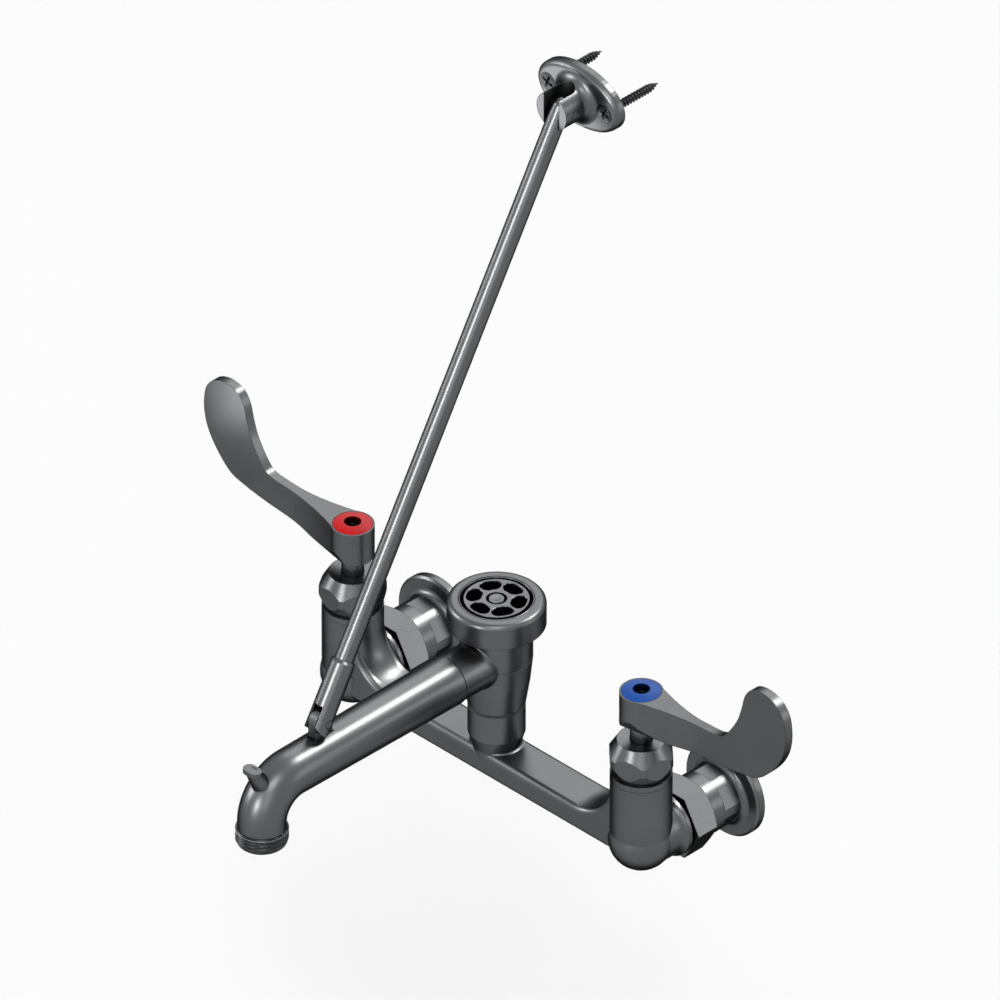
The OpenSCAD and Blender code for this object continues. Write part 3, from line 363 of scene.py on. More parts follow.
def plated_graph(name, colour, roughness, grain_scale, grain_depth, edge_radius):
    """Dark bright-work: faint clouds, fine grain, painted shade in crevices, painted shade lines
    along rounded edges, and undersides painted darker as shade and made duller. Gives the graph
    and its colour."""
    g = Graph(name)
    cloud = g.noise(38, 4)
    grain = g.noise(grain_scale, 5)
    normal, edge = g.edges(edge_radius)
    under = g.underside()
    colour_now = g.mix(
        g.span(cloud, 0, 1), tone(colour, 1 - CLOUD_TONE), tone(colour, 1 + CLOUD_TONE)
    )
    # Painted shade: the plating comes down to a share of its colour on undersides, along edges and
    # in crevices.
    for where, share in (
        (g.math("MULTIPLY", under, UNDERSIDE_SHADE_SHARE), UNDERSIDE_SHADE_TONE),
        (g.math("MULTIPLY", edge, EDGE_SHADE_SHARE), EDGE_SHADE_TONE),
        (g.crevice_shade(CREVICE_SHADE_DEPTH, 0.3, 0.7), CREVICE_SHADE_TONE),
    ):
        colour_now = g.mix(where, colour_now, tone(colour, share))
    g.link(colour_now, "Base Color")
    rough = g.math(
        "ADD",
        g.span(grain, -GRAIN_ROUGHNESS, GRAIN_ROUGHNESS),
        g.span(cloud, roughness - CLOUD_ROUGHNESS, roughness + CLOUD_ROUGHNESS),
    )
    dull = g.math("MULTIPLY", under, UNDERSIDE_ROUGHNESS)
    g.link(g.math("ADD", rough, dull), "Roughness")
    g.bump(grain, 0.35, grain_depth, normal)
    g.set(Metallic=1.0, Specular_Tint=tone(colour, GRAZING_TONE))
    return g, colour_now


def plated_metal(name, colour, roughness, grain_scale, grain_depth, edge_radius):
    """The plating on its own."""
    return plated_graph(name, colour, roughness, grain_scale, grain_depth, edge_radius)[0].material


def enamelled_plate(colour, roughness, level):
    """Plated disc whose recesses, below a level, are filled with black enamel."""
    g, plating = plated_graph("plated_cap_disc", colour, roughness, 900, 0.03 * MM, 0.2 * MM)
    height = g.add("ShaderNodeSeparateXYZ", {"Vector": g.place}).outputs["Z"]
    above = g.span(height, 0, 1, level - ENAMEL_EDGE, level)
    g.link(g.mix(above, ENAMEL, plating), "Base Color")
    return g.material


def plain_metal(name, colour, roughness, edge_wear_and_glint, stretch=(1, 1, 1)):
    """Bare turned metal: fine rings or streaks in its colour and roughness, its edges painted
    brighter by a factor, partly as wear and partly as a painted glint."""
    g = Graph(name)
    streak = g.noise(900, 3, stretch)
    cloud = g.noise(60, 3)
    normal, edge = g.edges(0.0002)
    plain = g.mix(g.span(cloud, 0, 1), tone(colour, 0.82), tone(colour, 1.08))
    g.link(g.mix(edge, plain, tone(colour, edge_wear_and_glint)), "Base Color")
    g.link(g.span(streak, roughness - 0.06, roughness + 0.08), "Roughness")
    g.bump(streak, 0.25, 0.00004, normal)
    g.set(Metallic=1.0)
    return g.material


def gloss_plastic(name, colour, roughness):
    """Moulded plastic with a faint orange-peel skin, with painted shade in its hole and towards
    its rims.
    """
    g = Graph(name)
    peel = g.noise(700, 2)
    cloud = g.noise(90, 3)
    normal, edge = g.edges(0.0003)
    plain = g.mix(g.span(cloud, 0, 1), tone(colour, 0.85), tone(colour, 1.1))
    rim_shaded = g.mix(g.math("MULTIPLY", edge, 0.6), plain, tone(colour, 0.3))
    g.link(g.mix(g.crevice_shade(9 * MM, 0.6, 0.95), rim_shaded, tone(colour, 0.03)), "Base Color")
    g.link(g.span(peel, roughness, roughness + 0.08), "Roughness")
    g.bump(peel, 0.15, 0.00003, normal)
    g.set(IOR=1.49, Specular_IOR_Level=0.15)
    return g.material


def soft_rubber(name, colour):
    """Matt black rubber with fine pores and dusty high spots."""
    g = Graph(name)
    pores = g.noise(1500, 4)
    dust = g.noise(160, 3)
    dusty = g.mix(g.span(dust, 0, 1, 0.4, 0.8), tone(colour, 0.8), tone(colour, 1.8))
    g.link(dusty, "Base Color")
    g.link(g.span(pores, 0.62, 0.82), "Roughness")
    g.bump(pores, 0.4, 0.00005)
    g.set(IOR=1.52)
    return g.material


def fired_ceramic(name, colour):
    """Lapped alumina: warm white with faint speckles."""
    g = Graph(name)
    speck = g.noise(1200, 3)
    speckled = g.mix(g.span(speck, 0, 1, 0.55, 0.75), tone(colour, 1.0), tone(colour, 0.78))
    g.link(speckled, "Base Color")
    g.link(g.span(speck, 0.16, 0.26), "Roughness")
    g.bump(speck, 0.1, 0.00002)
    g.set(IOR=1.76)
    return g.material


MATERIALS = {}


# Settings


class FaucetFinishes(bpy.types.PropertyGroup):
    """Colours and roughness of the faucet's finishes."""

    plating: FloatVectorProperty(
        name="Plating", description="Reflected colour of the plated castings and bar stock",
        subtype="COLOR", size=3, min=0, max=1, default=(0.104, 0.106, 0.109),
    )
    cast_roughness: FloatProperty(
        name="Casting roughness", description="Roughness of the plated castings",
        subtype="FACTOR", min=0.05, max=1, default=0.33,
    )
    bar_roughness: FloatProperty(
        name="Bar stock roughness",
        description="Roughness of the plated nuts, bonnets, rod and pins",
        subtype="FACTOR", min=0.05, max=1, default=0.28,
    )
    # The dark line along each edge of the plating is painted shade.
    edge_radius: FloatProperty(
        name="Edge radius", description="Radius of the dark line along each edge of the plating",
        subtype="DISTANCE", unit="LENGTH", min=0.0001, max=0.002, default=0.0006,
    )
    brass: FloatVectorProperty(
        name="Brass", description="Reflected colour of the bare brass inside",
        subtype="COLOR", size=3, min=0, max=1, default=(0.58, 0.4, 0.14),
    )
    rubber: FloatVectorProperty(
        name="Rubber", description="Colour of the washers and seals",
        subtype="COLOR", size=3, min=0, max=1, default=(0.018, 0.018, 0.019),
    )
    ceramic: FloatVectorProperty(
        name="Ceramic", description="Colour of the valve discs",
        subtype="COLOR", size=3, min=0, max=1, default=(0.82, 0.78, 0.68),
    )
    hot: FloatVectorProperty(
        name="Hot ring", description="Colour of the index ring on the hot side",
        subtype="COLOR", size=3, min=0, max=1, default=(0.42, 0.004, 0.008),
    )
    cold: FloatVectorProperty(
        name="Cold ring", description="Colour of the index ring on the cold side",
        subtype="COLOR", size=3, min=0, max=1, default=(0.006, 0.06, 0.29),
    )
    steel: FloatVectorProperty(
        name="Dark steel", description="Reflected colour of the blackened screws",
        subtype="COLOR", size=3, min=0, max=1, default=(0.028, 0.029, 0.031),
    )


class FaucetFineParts(bpy.types.PropertyGroup):
    """Sizes of the screws, threads and turned rings that the CAD model leaves plain."""

    hose_pitch: FloatProperty(
        name="Hose thread pitch", description="Pitch of the thread on the hose outlet",
        subtype="DISTANCE", unit="LENGTH", min=0.001, max=0.004, default=0.0022,
    )
    hose_depth: FloatProperty(
        name="Hose thread depth", description="Depth of the thread on the hose outlet",
        subtype="DISTANCE", unit="LENGTH", min=0.0002, max=0.0016, default=0.0009,
    )
    screw_pitch: FloatProperty(
        name="Screw pitch", description="Pitch of the wall screws' thread",
        subtype="DISTANCE", unit="LENGTH", min=0.001, max=0.004, default=0.002,
    )
    screw_core: FloatProperty(
        name="Screw core", description="Core of the wall screws' thread, as a share of its crest",
        subtype="FACTOR", min=0.4, max=0.95, default=0.66,
    )
    recess_width: FloatProperty(
        name="Recess width", description="Width of each arm of a screw's cross recess",
        subtype="DISTANCE", unit="LENGTH", min=0.0005, max=0.003, default=0.0013,
    )
    hose_lip: FloatProperty(
        name="Hose lip", description="Width of the lip that holds the hose washer",
        subtype="DISTANCE", unit="LENGTH", min=0.0005, max=0.003, default=0.00115,
    )
    screw_radius: FloatProperty(
        name="Screw radius", description="Radius over the wall screws' thread",
        subtype="DISTANCE", unit="LENGTH", min=0.001, max=0.005, default=0.0024,
    )
    screw_shank: FloatProperty(
        name="Screw shank", description="Length of plain shank behind the wall face",
        subtype="DISTANCE", unit="LENGTH", min=0.001, max=0.02, default=0.004,
    )
    fillet: FloatProperty(
        name="Fillet", description="Size of the cast fillets on the spout and its branch",
        subtype="DISTANCE", unit="LENGTH", min=0.0005, max=0.004, default=0.0018,
    )
    bend_radius: FloatProperty(
        name="Bend radius", description="Radius of the spout's bend at its centre line",
        subtype="DISTANCE", unit="LENGTH", min=0.01, max=0.03, default=0.02,
    )
    spout_rear: FloatProperty(
        name="Spout rear radius", description="Radius of the spout at its rear",
        subtype="DISTANCE", unit="LENGTH", min=0.01, max=0.02, default=0.01335,
    )
    spout_end: FloatProperty(
        name="Spout end radius", description="Radius of the spout at its bend",
        subtype="DISTANCE", unit="LENGTH", min=0.01, max=0.02, default=0.0124,
    )
    branch_radius: FloatProperty(
        name="Branch radius", description="Radius of the branch from the breaker to the spout",
        subtype="DISTANCE", unit="LENGTH", min=0.01, max=0.02, default=0.0128,
    )
    branch_length: FloatProperty(
        name="Branch length", description="Distance from the spout's rear to the breaker's axis",
        subtype="DISTANCE", unit="LENGTH", min=0.02, max=0.06, default=0.0343,
    )
    breaker_top: FloatProperty(
        name="Breaker radius", description="Radius of the breaker body over its groove",
        subtype="DISTANCE", unit="LENGTH", min=0.01, max=0.03, default=0.0183,
    )
    breaker_foot: FloatProperty(
        name="Breaker foot radius", description="Radius of the breaker body at its foot",
        subtype="DISTANCE", unit="LENGTH", min=0.01, max=0.03, default=0.0148,
    )
    groove_height: FloatProperty(
        name="Groove height", description="Height of the breaker's groove over the inlets",
        subtype="DISTANCE", unit="LENGTH", min=0.04, max=0.09, default=0.0609,
    )
    hook_foot_back: FloatProperty(
        name="Hook foot back", description="Distance of the hook's foot behind the outlet's axis",
        subtype="DISTANCE", unit="LENGTH", min=0, max=0.01, default=0.0015,
    )
    hook_tip_out: FloatProperty(
        name="Hook reach", description="Distance of the hook's head in front of the outlet's axis",
        subtype="DISTANCE", unit="LENGTH", min=0, max=0.02, default=0.0064,
    )
    hook_neck_top: FloatProperty(
        name="Hook height", description="Height of the underside of the hook's head",
        subtype="DISTANCE", unit="LENGTH", min=0.06, max=0.1, default=0.0742,
    )
    hook_radius: FloatProperty(
        name="Hook foot radius", description="Radius of the hook where it leaves the spout",
        subtype="DISTANCE", unit="LENGTH", min=0.002, max=0.008, default=0.0034,
    )
    lug_half_width: FloatProperty(
        name="Lug half width", description="Half the thickness of the lug under the brace",
        subtype="DISTANCE", unit="LENGTH", min=0.001, max=0.005, default=0.0025,
    )
    lug_half_length: FloatProperty(
        name="Lug half length", description="Half the length of the lug along the spout",
        subtype="DISTANCE", unit="LENGTH", min=0.003, max=0.01, default=0.006,
    )
    plate_slots: IntProperty(
        name="Plate slots", description="Number of curved slots round the disc on the cap",
        min=3, max=12, default=6,
    )


class FaucetStage(bpy.types.PropertyGroup):
    """Floor, light and camera."""

    floor: FloatVectorProperty(
        name="Floor", description="Colour of the floor",
        subtype="COLOR", size=3, min=0, max=1, default=(0.73, 0.73, 0.73),
    )
    drop: FloatProperty(
        name="Drop", description="Height of the faucet's lowest point over the floor",
        subtype="DISTANCE", unit="LENGTH", min=0, max=1, default=0.3,
    )
    fill: FloatProperty(
        name="Fill light", description="Strength of the world's light on matt surfaces",
        min=0, max=1, default=0.12,
    )
    top: FloatProperty(
        name="Top light", description="Brightness of the wide light behind and above",
        min=0, max=200, default=2.6,
    )
    streak: FloatProperty(
        name="Streak light",
        description="Brightness of the light that draws the spout's highlight",
        min=0, max=200, default=40,
    )
    front: FloatProperty(
        name="Front light",
        description="Brightness of the light that draws the brace's highlight",
        min=0, max=200, default=19,
    )
    over: FloatProperty(
        name="Overhead light", description="Brightness of the light above and in front",
        min=0, max=200, default=6,
    )
    side: FloatProperty(
        name="Side light", description="Brightness of the light on the right, a little behind",
        min=0, max=200, default=2.5,
    )
    near: FloatProperty(
        name="Near light", description="Brightness of the light low on the camera's side",
        min=0, max=200, default=1.5,
    )
    left: FloatProperty(
        name="Left light", description="Brightness of the light on the left, in front",
        min=0, max=200, default=11,
    )
    edge_power: FloatProperty(
        name="Edge power", description="Power of the low lamp that lights the left sides",
        unit="POWER", min=0, max=500, default=0.5,
    )
    flange_power: FloatProperty(
        name="Flange power",
        description="Power of the small lamp that lights the bracket's flange",
        unit="POWER", min=0, max=500, default=0.08,
    )
    azimuth: FloatProperty(
        name="Azimuth", description="Direction of the camera round the faucet",
        subtype="ANGLE", unit="ROTATION", default=math.radians(45),
    )
    elevation: FloatProperty(
        name="Elevation", description="Height of the camera above the horizon",
        subtype="ANGLE", unit="ROTATION", default=math.atan(math.sqrt(0.5)),
    )
    lens: FloatProperty(
        name="Lens", description="Focal length of the camera, in millimetres",
        min=50, max=5000, default=1500,
    )
    view_width: FloatProperty(
        name="View width", description="Width of the view at the faucet",
        subtype="DISTANCE", unit="LENGTH", min=0.1, max=5, default=0.498,
    )
    aim: FloatVectorProperty(
        name="Aim", description="Point in the middle of the view",
        subtype="XYZ", unit="LENGTH", size=3, default=(-0.0305, -0.0288, 0.123),
    )


# Operators


class FAUCET_OT_finishes(bpy.types.Operator):
    """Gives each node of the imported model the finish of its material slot"""

    bl_idname = "faucet.finishes"
    bl_label = "Finishes"

    def execute(self, context):
        f = context.scene.faucet_finishes
        MATERIALS["chrome_casting"] = plated_metal(
            "plated_casting", f.plating, f.cast_roughness, 1500, 0.01 * MM, f.edge_radius
        )
        MATERIALS["chrome_bar"] = plated_metal(
            "plated_bar_stock", f.plating, f.bar_roughness, 2200, 0.008 * MM, f.edge_radius
        )
        # The fourth number of each bare metal brightens its edges: partly wear, partly a painted
        # glint.
        MATERIALS["brass"] = plain_metal("bare_brass", f.brass, 0.28, 1.2, (1, 1, 9))
        MATERIALS["rubber"] = soft_rubber("black_rubber", f.rubber)
        MATERIALS["ceramic"] = fired_ceramic("valve_ceramic", f.ceramic)
        MATERIALS["hot_red"] = gloss_plastic("hot_red_plastic", f.hot, 0.3)
        MATERIALS["cold_blue"] = gloss_plastic("cold_blue_plastic", f.cold, 0.3)
        MATERIALS["dark_steel"] = plain_metal("blackened_steel", f.steel, 0.3, 2.5)
        MATERIALS["dark_ring"] = plain_metal("dark_turned_ring", f.steel, 0.3, 7, (1, 1, 6))
        wanted = {p["node"]: p["material_slot"] for p in frame["record"]["subparts"]}
        missing = sorted(set(frame["nodes"]) - set(wanted))
        if missing:
            raise RuntimeError(f"no material slot names these nodes: {missing}")
        for name, slot in wanted.items():
            mesh = frame["nodes"][name].data
            if not mesh.materials:
                mesh.materials.append(None)
            for i in range(len(mesh.materials)):
                mesh.materials[i] = MATERIALS[slot]
        return {"FINISHED"}


class FAUCET_OT_hose_outlet(bpy.types.Operator):
    """Cuts the hose thread and the collar on the spout's dark ring, with a ledge painted bright as
    a highlight
    """

    bl_idname = "faucet.hose_outlet"
    bl_label = "Hose outlet"

    def execute(self, context):
        f = context.scene.faucet_fine_parts
        lo, hi = node_box("hose_outlet")
        washer_lo, washer_hi = node_box("hose_washer")
        middle = (lo + hi) / 2
        radius, height = (hi[0] - lo[0]) / 2, hi[2] - lo[2]
        lip, lip_height = (washer_hi[0] - washer_lo[0]) / 2, washer_hi[2] - washer_lo[2]
        recess = lip + f.hose_lip
        collar, collar_rise = 1.9 * MM, 0.2 * MM
        corner = 0.1 * MM
        chamfer = 0.5 * MM
        bevel = 0.7 * MM
        proud = 0.04 * MM
        wide = radius - proud
        root = radius - f.hose_depth
        shoulder = height - collar + collar_rise
        h = np.linspace(chamfer, height - collar, 90)[:, None]
        a = angles(160)[None, :]
        fade = smooth_step(h, chamfer, chamfer + f.hose_pitch) * (
            1 - smooth_step(h, height - collar - f.hose_pitch / 2, height - collar)
        )
        r = root + f.hose_depth * fade * ridge(a, h, f.hose_pitch, 0.8)
        thread = np.stack([r * np.cos(a), r * np.sin(a), h + 0 * a], -1)
        above = revolve(
            [root, wide - corner, wide, wide, wide - bevel, recess, recess, lip],
            [height - collar, shoulder, shoulder + corner, height - bevel, height,
             height, lip_height, lip_height],
            160,
        )
        below = revolve([lip, root - chamfer], [0, 0], 160)
        points = np.concatenate([below, thread, above])
        foot = np.array([middle[0], middle[1], lo[2]])
        points += foot
        add_piece(
            "hose_thread", [surface(points, wrap_rows=True)], MATERIALS["dark_ring"],
            "faucet", ["hose_outlet"],
        )
        # The ledge is a thin ring standing just proud, coloured far brighter than the plating: a
        # painted highlight.
        inset = 0.3 * MM
        ledge = revolve(
            [wide + proud, wide - bevel + proud, wide - bevel - inset, wide - inset],
            [height - bevel - corner, height - proud, height - 2 * corner,
             height - bevel - inset],
            160,
        )
        add_piece(
            "hose_ledge_highlight_sheet", [surface(ledge + foot, wrap_rows=True)],
            plain_metal("ledge_painted_highlight", tone(context.scene.faucet_finishes.plating, 7), 0.5, 1),
            "faucet",
        )
        return {"FINISHED"}


class FAUCET_OT_wall_screws(bpy.types.Operator):
    """Turns the two wood screws of the wall bracket, with their threads and cross recesses"""

    bl_idname = "faucet.wall_screws"
    bl_label = "Wall screws"

    def execute(self, context):
        f = context.scene.faucet_fine_parts
        lo, hi = node_box("wall_screws")
        head = (hi[2] - lo[2]) / 2
        spacing = hi[0] - lo[0] - 2 * head
        reach, front = hi[1], -lo[1]
        crest = f.screw_radius
        z = np.linspace(-reach, -f.screw_shank, 190)[:, None]
        a = angles(48)[None, :]
        point_start, point_end = -3 * MM, 7.5 * MM
        taper = smooth_step(z + reach, point_start, point_end)
        taper = (taper - taper[0]) / (1 - taper[0])
        core = crest * f.screw_core * taper
        grown = ridge(a, z, f.screw_pitch, 2.2) * (
            1 - smooth_step(z, -f.screw_shank - f.screw_pitch, -f.screw_shank)
        )
        r = core + crest * (1 - f.screw_core) * np.sqrt(taper) * grown
        thread = np.stack([r * np.cos(a), r * np.sin(a), z + 0 * a], -1)
        shank = crest * 0.86
        cone, rim, corner, step = 3 * MM, 0.35 * MM, 0.25 * MM, 0.4 * MM
        neck = revolve(
            [shank, shank, head - corner, head, head],
            [step - f.screw_shank, front - cone, front - rim, front - corner, front],
            48,
        )
        dome, turn, recess_reach, recess_depth = 0.45 * MM, math.radians(20), 0.72, 1.7 * MM
        out = np.linspace(1, 0, 34)[:, None] * head * 0.985
        crown = front + dome * (1 - (out / head) ** 2)
        crown = crown - cross_recess(
            out * np.cos(a + turn), out * np.sin(a + turn), f.recess_width,
            head * recess_reach, recess_depth,
        )
        top = np.stack([out * np.cos(a), out * np.sin(a), crown + 0 * a], -1)
        local = np.concatenate([thread, neck, top])
        parts = []
        for side in (-1, 1):
            x = (lo[0] + hi[0]) / 2 + side * spacing / 2 + local[..., 0]
            y, up = -local[..., 2], (lo[2] + hi[2]) / 2 + local[..., 1]
            parts.append(surface(np.stack([x, y, up], -1)))
        add_piece(
            "wood_screws", parts, MATERIALS["dark_steel"], "bracket",
            ["wall_screws"], 40,
        )
        return {"FINISHED"}


class FAUCET_OT_cap_disc(bpy.types.Operator):
    """Sinks a ring of plain slots and two grooves, filled with enamel, into the disc on the cap"""

    bl_idname = "faucet.cap_disc"
    bl_label = "Cap disc"

    def execute(self, context):
        f = context.scene.faucet_fine_parts
        c = context.scene.faucet_finishes
        lo, hi = node_box("cap_plate")
        radius = (hi[0] - lo[0]) / 2
        depth, edge, dish_depth, enamel_depth = 0.55 * MM, 0.3 * MM, 0.2 * MM, 0.25 * MM
        out = np.linspace(1, 0, 96)[:, None] * (radius - edge)
        a = angles(288)[None, :]
        sunk = ring_slots(out, a, f.plate_slots, 0.6 * radius, 0.2 * radius, 0.9)
        for middle, width in ((0.91 * radius, 0.04 * radius), (0.24 * radius, 0.03 * radius)):
            groove = 1 - smooth_step(abs(out - middle), width, width + 0.2 * MM)
            sunk = np.maximum(sunk, groove)
        dish = dish_depth * (1 - smooth_step(out, 0, 0.18 * radius))
        top = np.stack([out * np.cos(a), out * np.sin(a), hi[2] - depth * sunk - dish], -1)
        rim = revolve([0, radius, radius], [lo[2], lo[2], hi[2] - edge], 288)
        points = np.concatenate([rim, top])
        points[..., :2] += ((lo + hi) / 2)[:2]
        add_piece(
            "cap_disc", [surface(points)],
            enamelled_plate(c.plating, c.bar_roughness, hi[2] - enamel_depth),
            "faucet", ["cap_plate"], 50,
        )
        return {"FINISHED"}


class FAUCET_OT_cast_fillets(bpy.types.Operator):
    """Runs cast fillets round the feet of the pail hook, the brace lug and the spout's branch"""

    bl_idname = "faucet.cast_fillets"
    bl_label = "Cast fillets"

    def execute(self, context):
        f = context.scene.faucet_fine_parts
        x, y, z = np.eye(3)
        spout_lo, spout_hi = node_box("spout")
        ring_lo, ring_hi = node_box("hose_outlet")
        outlet = (ring_lo + ring_hi)[1] / 2
        pin_lo, pin_hi = node_box("lower_pin")
        pin = (pin_lo + pin_hi) / 2
        body_lo, body_hi = node_box("breaker_body")
        gasket_lo, gasket_hi = node_box("spout_gasket")
        height = (gasket_lo + gasket_hi)[2] / 2
        rear = spout_hi[1]
        bend_y = outlet + f.bend_radius
        bend_z = height - f.bend_radius

        def spout(p):
            """Distance from the spout: the straight, narrowing tube, then the quarter bend."""
            share = np.clip((rear - p[:, 1]) / (rear - bend_y), 0, 1)
            tube = np.hypot(p[:, 0], p[:, 2] - height) - (
                f.spout_rear + (f.spout_end - f.spout_rear) * share
            )
            off = np.hypot(p[:, 1] - bend_y, p[:, 2] - bend_z) - f.bend_radius
            bend = np.hypot(p[:, 0], off) - f.spout_end
            return np.where(p[:, 1] > bend_y, tube, bend)

        tower = (body_lo + body_hi)[0] / 2, gasket_hi[1] + f.branch_length
        thread_height = 11 * MM

        def breaker(p):
            """Distance from the upright breaker body: widening up to the groove, then straight."""
            radius = np.interp(
                p[:, 2], [body_lo[2] + thread_height, f.groove_height],
                [f.breaker_foot, f.breaker_top],
            )
            return np.hypot(p[:, 0] - tower[0], p[:, 1] - tower[1]) - radius

        foot = np.array([0, outlet + f.hook_foot_back, height])
        head = np.array([0, outlet - f.hook_tip_out, f.hook_neck_top])
        lean = (head - foot) / np.linalg.norm(head - foot)
        climb = np.cross(x, lean)
        hook = cast_collar(
            foot + lean * (f.spout_end + 1 * MM), -lean,
            round_outline(f.hook_radius, x, climb), f.fillet, spout, 12 * MM,
        )
        lug = cast_collar(
            np.array([pin[0], pin[1], height + f.spout_end]), -z,
            oblong_outline(f.lug_half_width, f.lug_half_length, 0.4 * MM, x, y),
            f.fillet * 0.8, spout, 8 * MM,
        )
        branch = cast_collar(
            np.array([0, tower[1] - f.breaker_top, height]), y,
            round_outline(f.branch_radius, x, z), f.fillet * 2, breaker, 17 * MM,
        )
        add_piece(
            "spout_fillets", [hook, lug], MATERIALS["chrome_casting"], "faucet",
            sharp_deg=60,
        )
        add_piece(
            "branch_fillet", [branch], MATERIALS["chrome_casting"], "faucet",
            sharp_deg=60,
        )
        return {"FINISHED"}


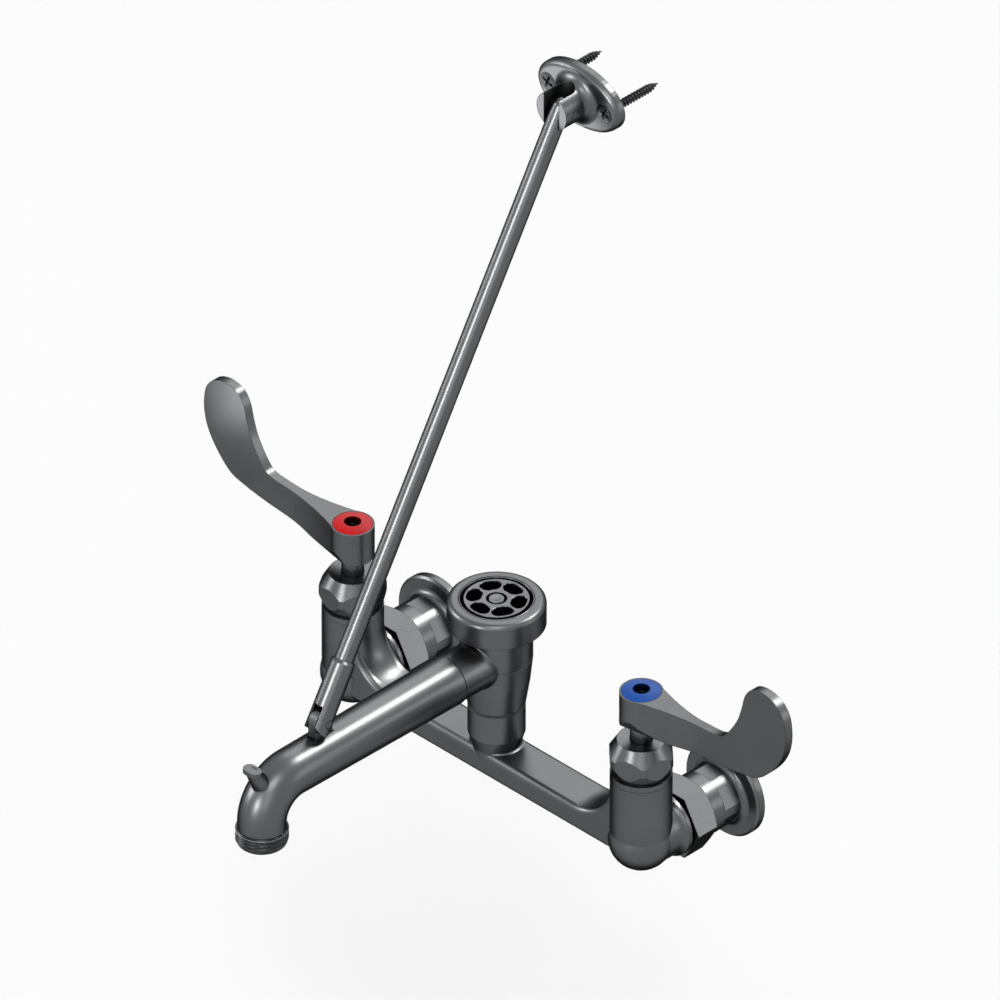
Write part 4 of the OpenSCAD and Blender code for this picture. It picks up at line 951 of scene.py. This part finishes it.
class FAUCET_OT_stage(bpy.types.Operator):
    """Lays a plain pale floor under the faucet, lights it softly and sets the camera"""

    bl_idname = "faucet.stage"
    bl_label = "Stage"

    def execute(self, context):
        s = context.scene.faucet_stage
        self.floor(s)
        self.world(context.scene, s)
        self.lamps(s)
        self.camera(context.scene, s)
        context.scene.view_settings.view_transform = "Standard"
        return {"FINISHED"}

    def floor(self, s):
        half, count = 30.0, 13
        line = np.linspace(-half, half, count)
        x, y = np.meshgrid(line, line, indexing="ij")
        verts, faces = surface(
            np.stack([x, y, np.full_like(x, CAD_BOX[0].z - s.drop)], -1), False, False
        )
        mesh = bpy.data.meshes.new("floor")
        mesh.from_pydata(verts.tolist(), [], faces.tolist())
        g = Graph("pale_floor")
        g.link(g.mix(g.noise(3, 2), tone(s.floor, 0.995), tone(s.floor, 1.005)), "Base Color")
        g.set(Roughness=0.9, Specular_IOR_Level=0.0)
        mesh.materials.append(g.material)
        floor = bpy.data.objects.new("floor", mesh)
        bpy.context.scene.collection.objects.link(floor)

    def world(self, scene, s):
        """Plain white where it is seen or mirrored, and a weak fill light on matt surfaces."""
        world = bpy.data.worlds.new("plain_light")
        world.use_nodes = True
        tree = world.node_tree
        tree.nodes.clear()
        rays = tree.nodes.new("ShaderNodeLightPath").outputs
        seen = rays["Is Camera Ray"]
        for kind in ("Is Glossy Ray", "Is Transmission Ray"):
            either = tree.nodes.new("ShaderNodeMath")
            either.operation = "MAXIMUM"
            tree.links.new(seen, either.inputs[0])
            tree.links.new(rays[kind], either.inputs[1])
            seen = either.outputs[0]
        strength = tree.nodes.new("ShaderNodeMapRange")
        strength.inputs["To Min"].default_value = s.fill
        tree.links.new(seen, strength.inputs["Value"])
        light = tree.nodes.new("ShaderNodeBackground")
        light.inputs["Color"].default_value = (1, 1, 1, 1)
        tree.links.new(strength.outputs["Result"], light.inputs["Strength"])
        end = tree.nodes.new("ShaderNodeOutputWorld")
        tree.links.new(light.outputs[0], end.inputs["Surface"])
        scene.world = world

    def lamps(self, s):
        """Distant soft lights: each has a direction, the angle it fills in degrees, and the
        brightness of its disc, so its strength is the brightness times pi times the squared sine
        of half the angle. Then two near lamps: place, size, spread in degrees, power, aim."""
        for name, toward, angle, brightness in (
            ("top_light", (-0.44, 0.62, 0.65), 36, s.top),
            ("streak_light", (0.16, 0.62, 0.77), 15, s.streak),
            ("front_light", (0.07, -0.96, 0.27), 17, s.front),
            ("over_light", (0.4, -0.42, 0.8), 24, s.over),
            ("side_light", (0.789, 0.54, 0.21), 22, s.side),
            ("near_light", (0.62, -0.7, 0.35), 30, s.near),
            ("left_light", (-0.8, -0.5, 0.33), 24, s.left),
        ):
            data = bpy.data.lights.new(name, "SUN")
            data.angle = math.radians(angle)
            data.energy = brightness * math.pi * math.sin(data.angle / 2) ** 2
            self.hang(data, Vector(s.aim) + 2 * Vector(toward), Vector(s.aim))
        bracket = Vector(np.mean(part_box("wall_bracket"), 0))
        for name, place, size, spread, power, aim in (
            ("edge_lamp", (-0.78, 0.02, -0.28), 0.35, 50, s.edge_power, Vector(s.aim)),
            ("flange_lamp", (-0.2, -0.22, 0.15), 0.2, 60, s.flange_power, bracket),
        ):
            data = bpy.data.lights.new(name, "AREA")
            data.size = size
            data.spread = math.radians(spread)
            data.energy = power
            self.hang(data, Vector(place), aim)

    def hang(self, data, place, aim):
        lamp = bpy.data.objects.new(data.name, data)
        lamp.location = place
        lamp.rotation_euler = (aim - place).to_track_quat("-Z", "Y").to_euler()
        lamp.visible_camera = False
        bpy.context.scene.collection.objects.link(lamp)

    def camera(self, scene, s):
        data = bpy.data.cameras.new("camera")
        data.sensor_width = 36.0
        data.lens = s.lens
        distance = s.view_width * s.lens / data.sensor_width
        data.clip_start, data.clip_end = 0.1, 4 * distance
        back = Vector(
            (
                math.sin(s.azimuth) * math.cos(s.elevation),
                -math.cos(s.azimuth) * math.cos(s.elevation),
                math.sin(s.elevation),
            )
        )
        camera = bpy.data.objects.new("camera", data)
        camera.rotation_mode = "QUATERNION"
        camera.rotation_quaternion = (-back).to_track_quat("-Z", "Y")
        camera.location = Vector(s.aim) + distance * back
        scene.collection.objects.link(camera)
        scene.camera = camera


class FAUCET_PT_parts(bpy.types.Panel):
    """Lists the faucet's pieces and their settings"""

    bl_label = "Service sink faucet"
    bl_idname = "FAUCET_PT_parts"
    bl_space_type = "VIEW_3D"
    bl_region_type = "UI"
    bl_category = "Faucet"

    def draw(self, context):
        for operator in OPERATORS:
            self.layout.operator(operator.bl_idname)
        for name, group in SETTINGS.items():
            box = self.layout.box()
            for key in group.__annotations__:
                box.prop(getattr(context.scene, name), key)


SETTINGS = {
    "faucet_finishes": FaucetFinishes,
    "faucet_fine_parts": FaucetFineParts,
    "faucet_stage": FaucetStage,
}
OPERATORS = (
    FAUCET_OT_finishes,
    FAUCET_OT_hose_outlet,
    FAUCET_OT_wall_screws,
    FAUCET_OT_cap_disc,
    FAUCET_OT_cast_fillets,
    FAUCET_OT_stage,
)


def register():
    for name, group in SETTINGS.items():
        bpy.utils.register_class(group)
        setattr(bpy.types.Scene, name, PointerProperty(type=group))
    for cls in (*OPERATORS, FAUCET_PT_parts):
        bpy.utils.register_class(cls)


def unregister():
    for cls in (FAUCET_PT_parts, *reversed(OPERATORS)):
        bpy.utils.unregister_class(cls)
    for name, group in SETTINGS.items():
        delattr(bpy.types.Scene, name)
        bpy.utils.unregister_class(group)


def main():
    register()
    bpy.ops.faucet.finishes()
    bpy.ops.faucet.hose_outlet()
    bpy.ops.faucet.wall_screws()
    bpy.ops.faucet.cap_disc()
    bpy.ops.faucet.cast_fillets()
    bpy.ops.faucet.stage()


if __name__ == "__main__":
    main()
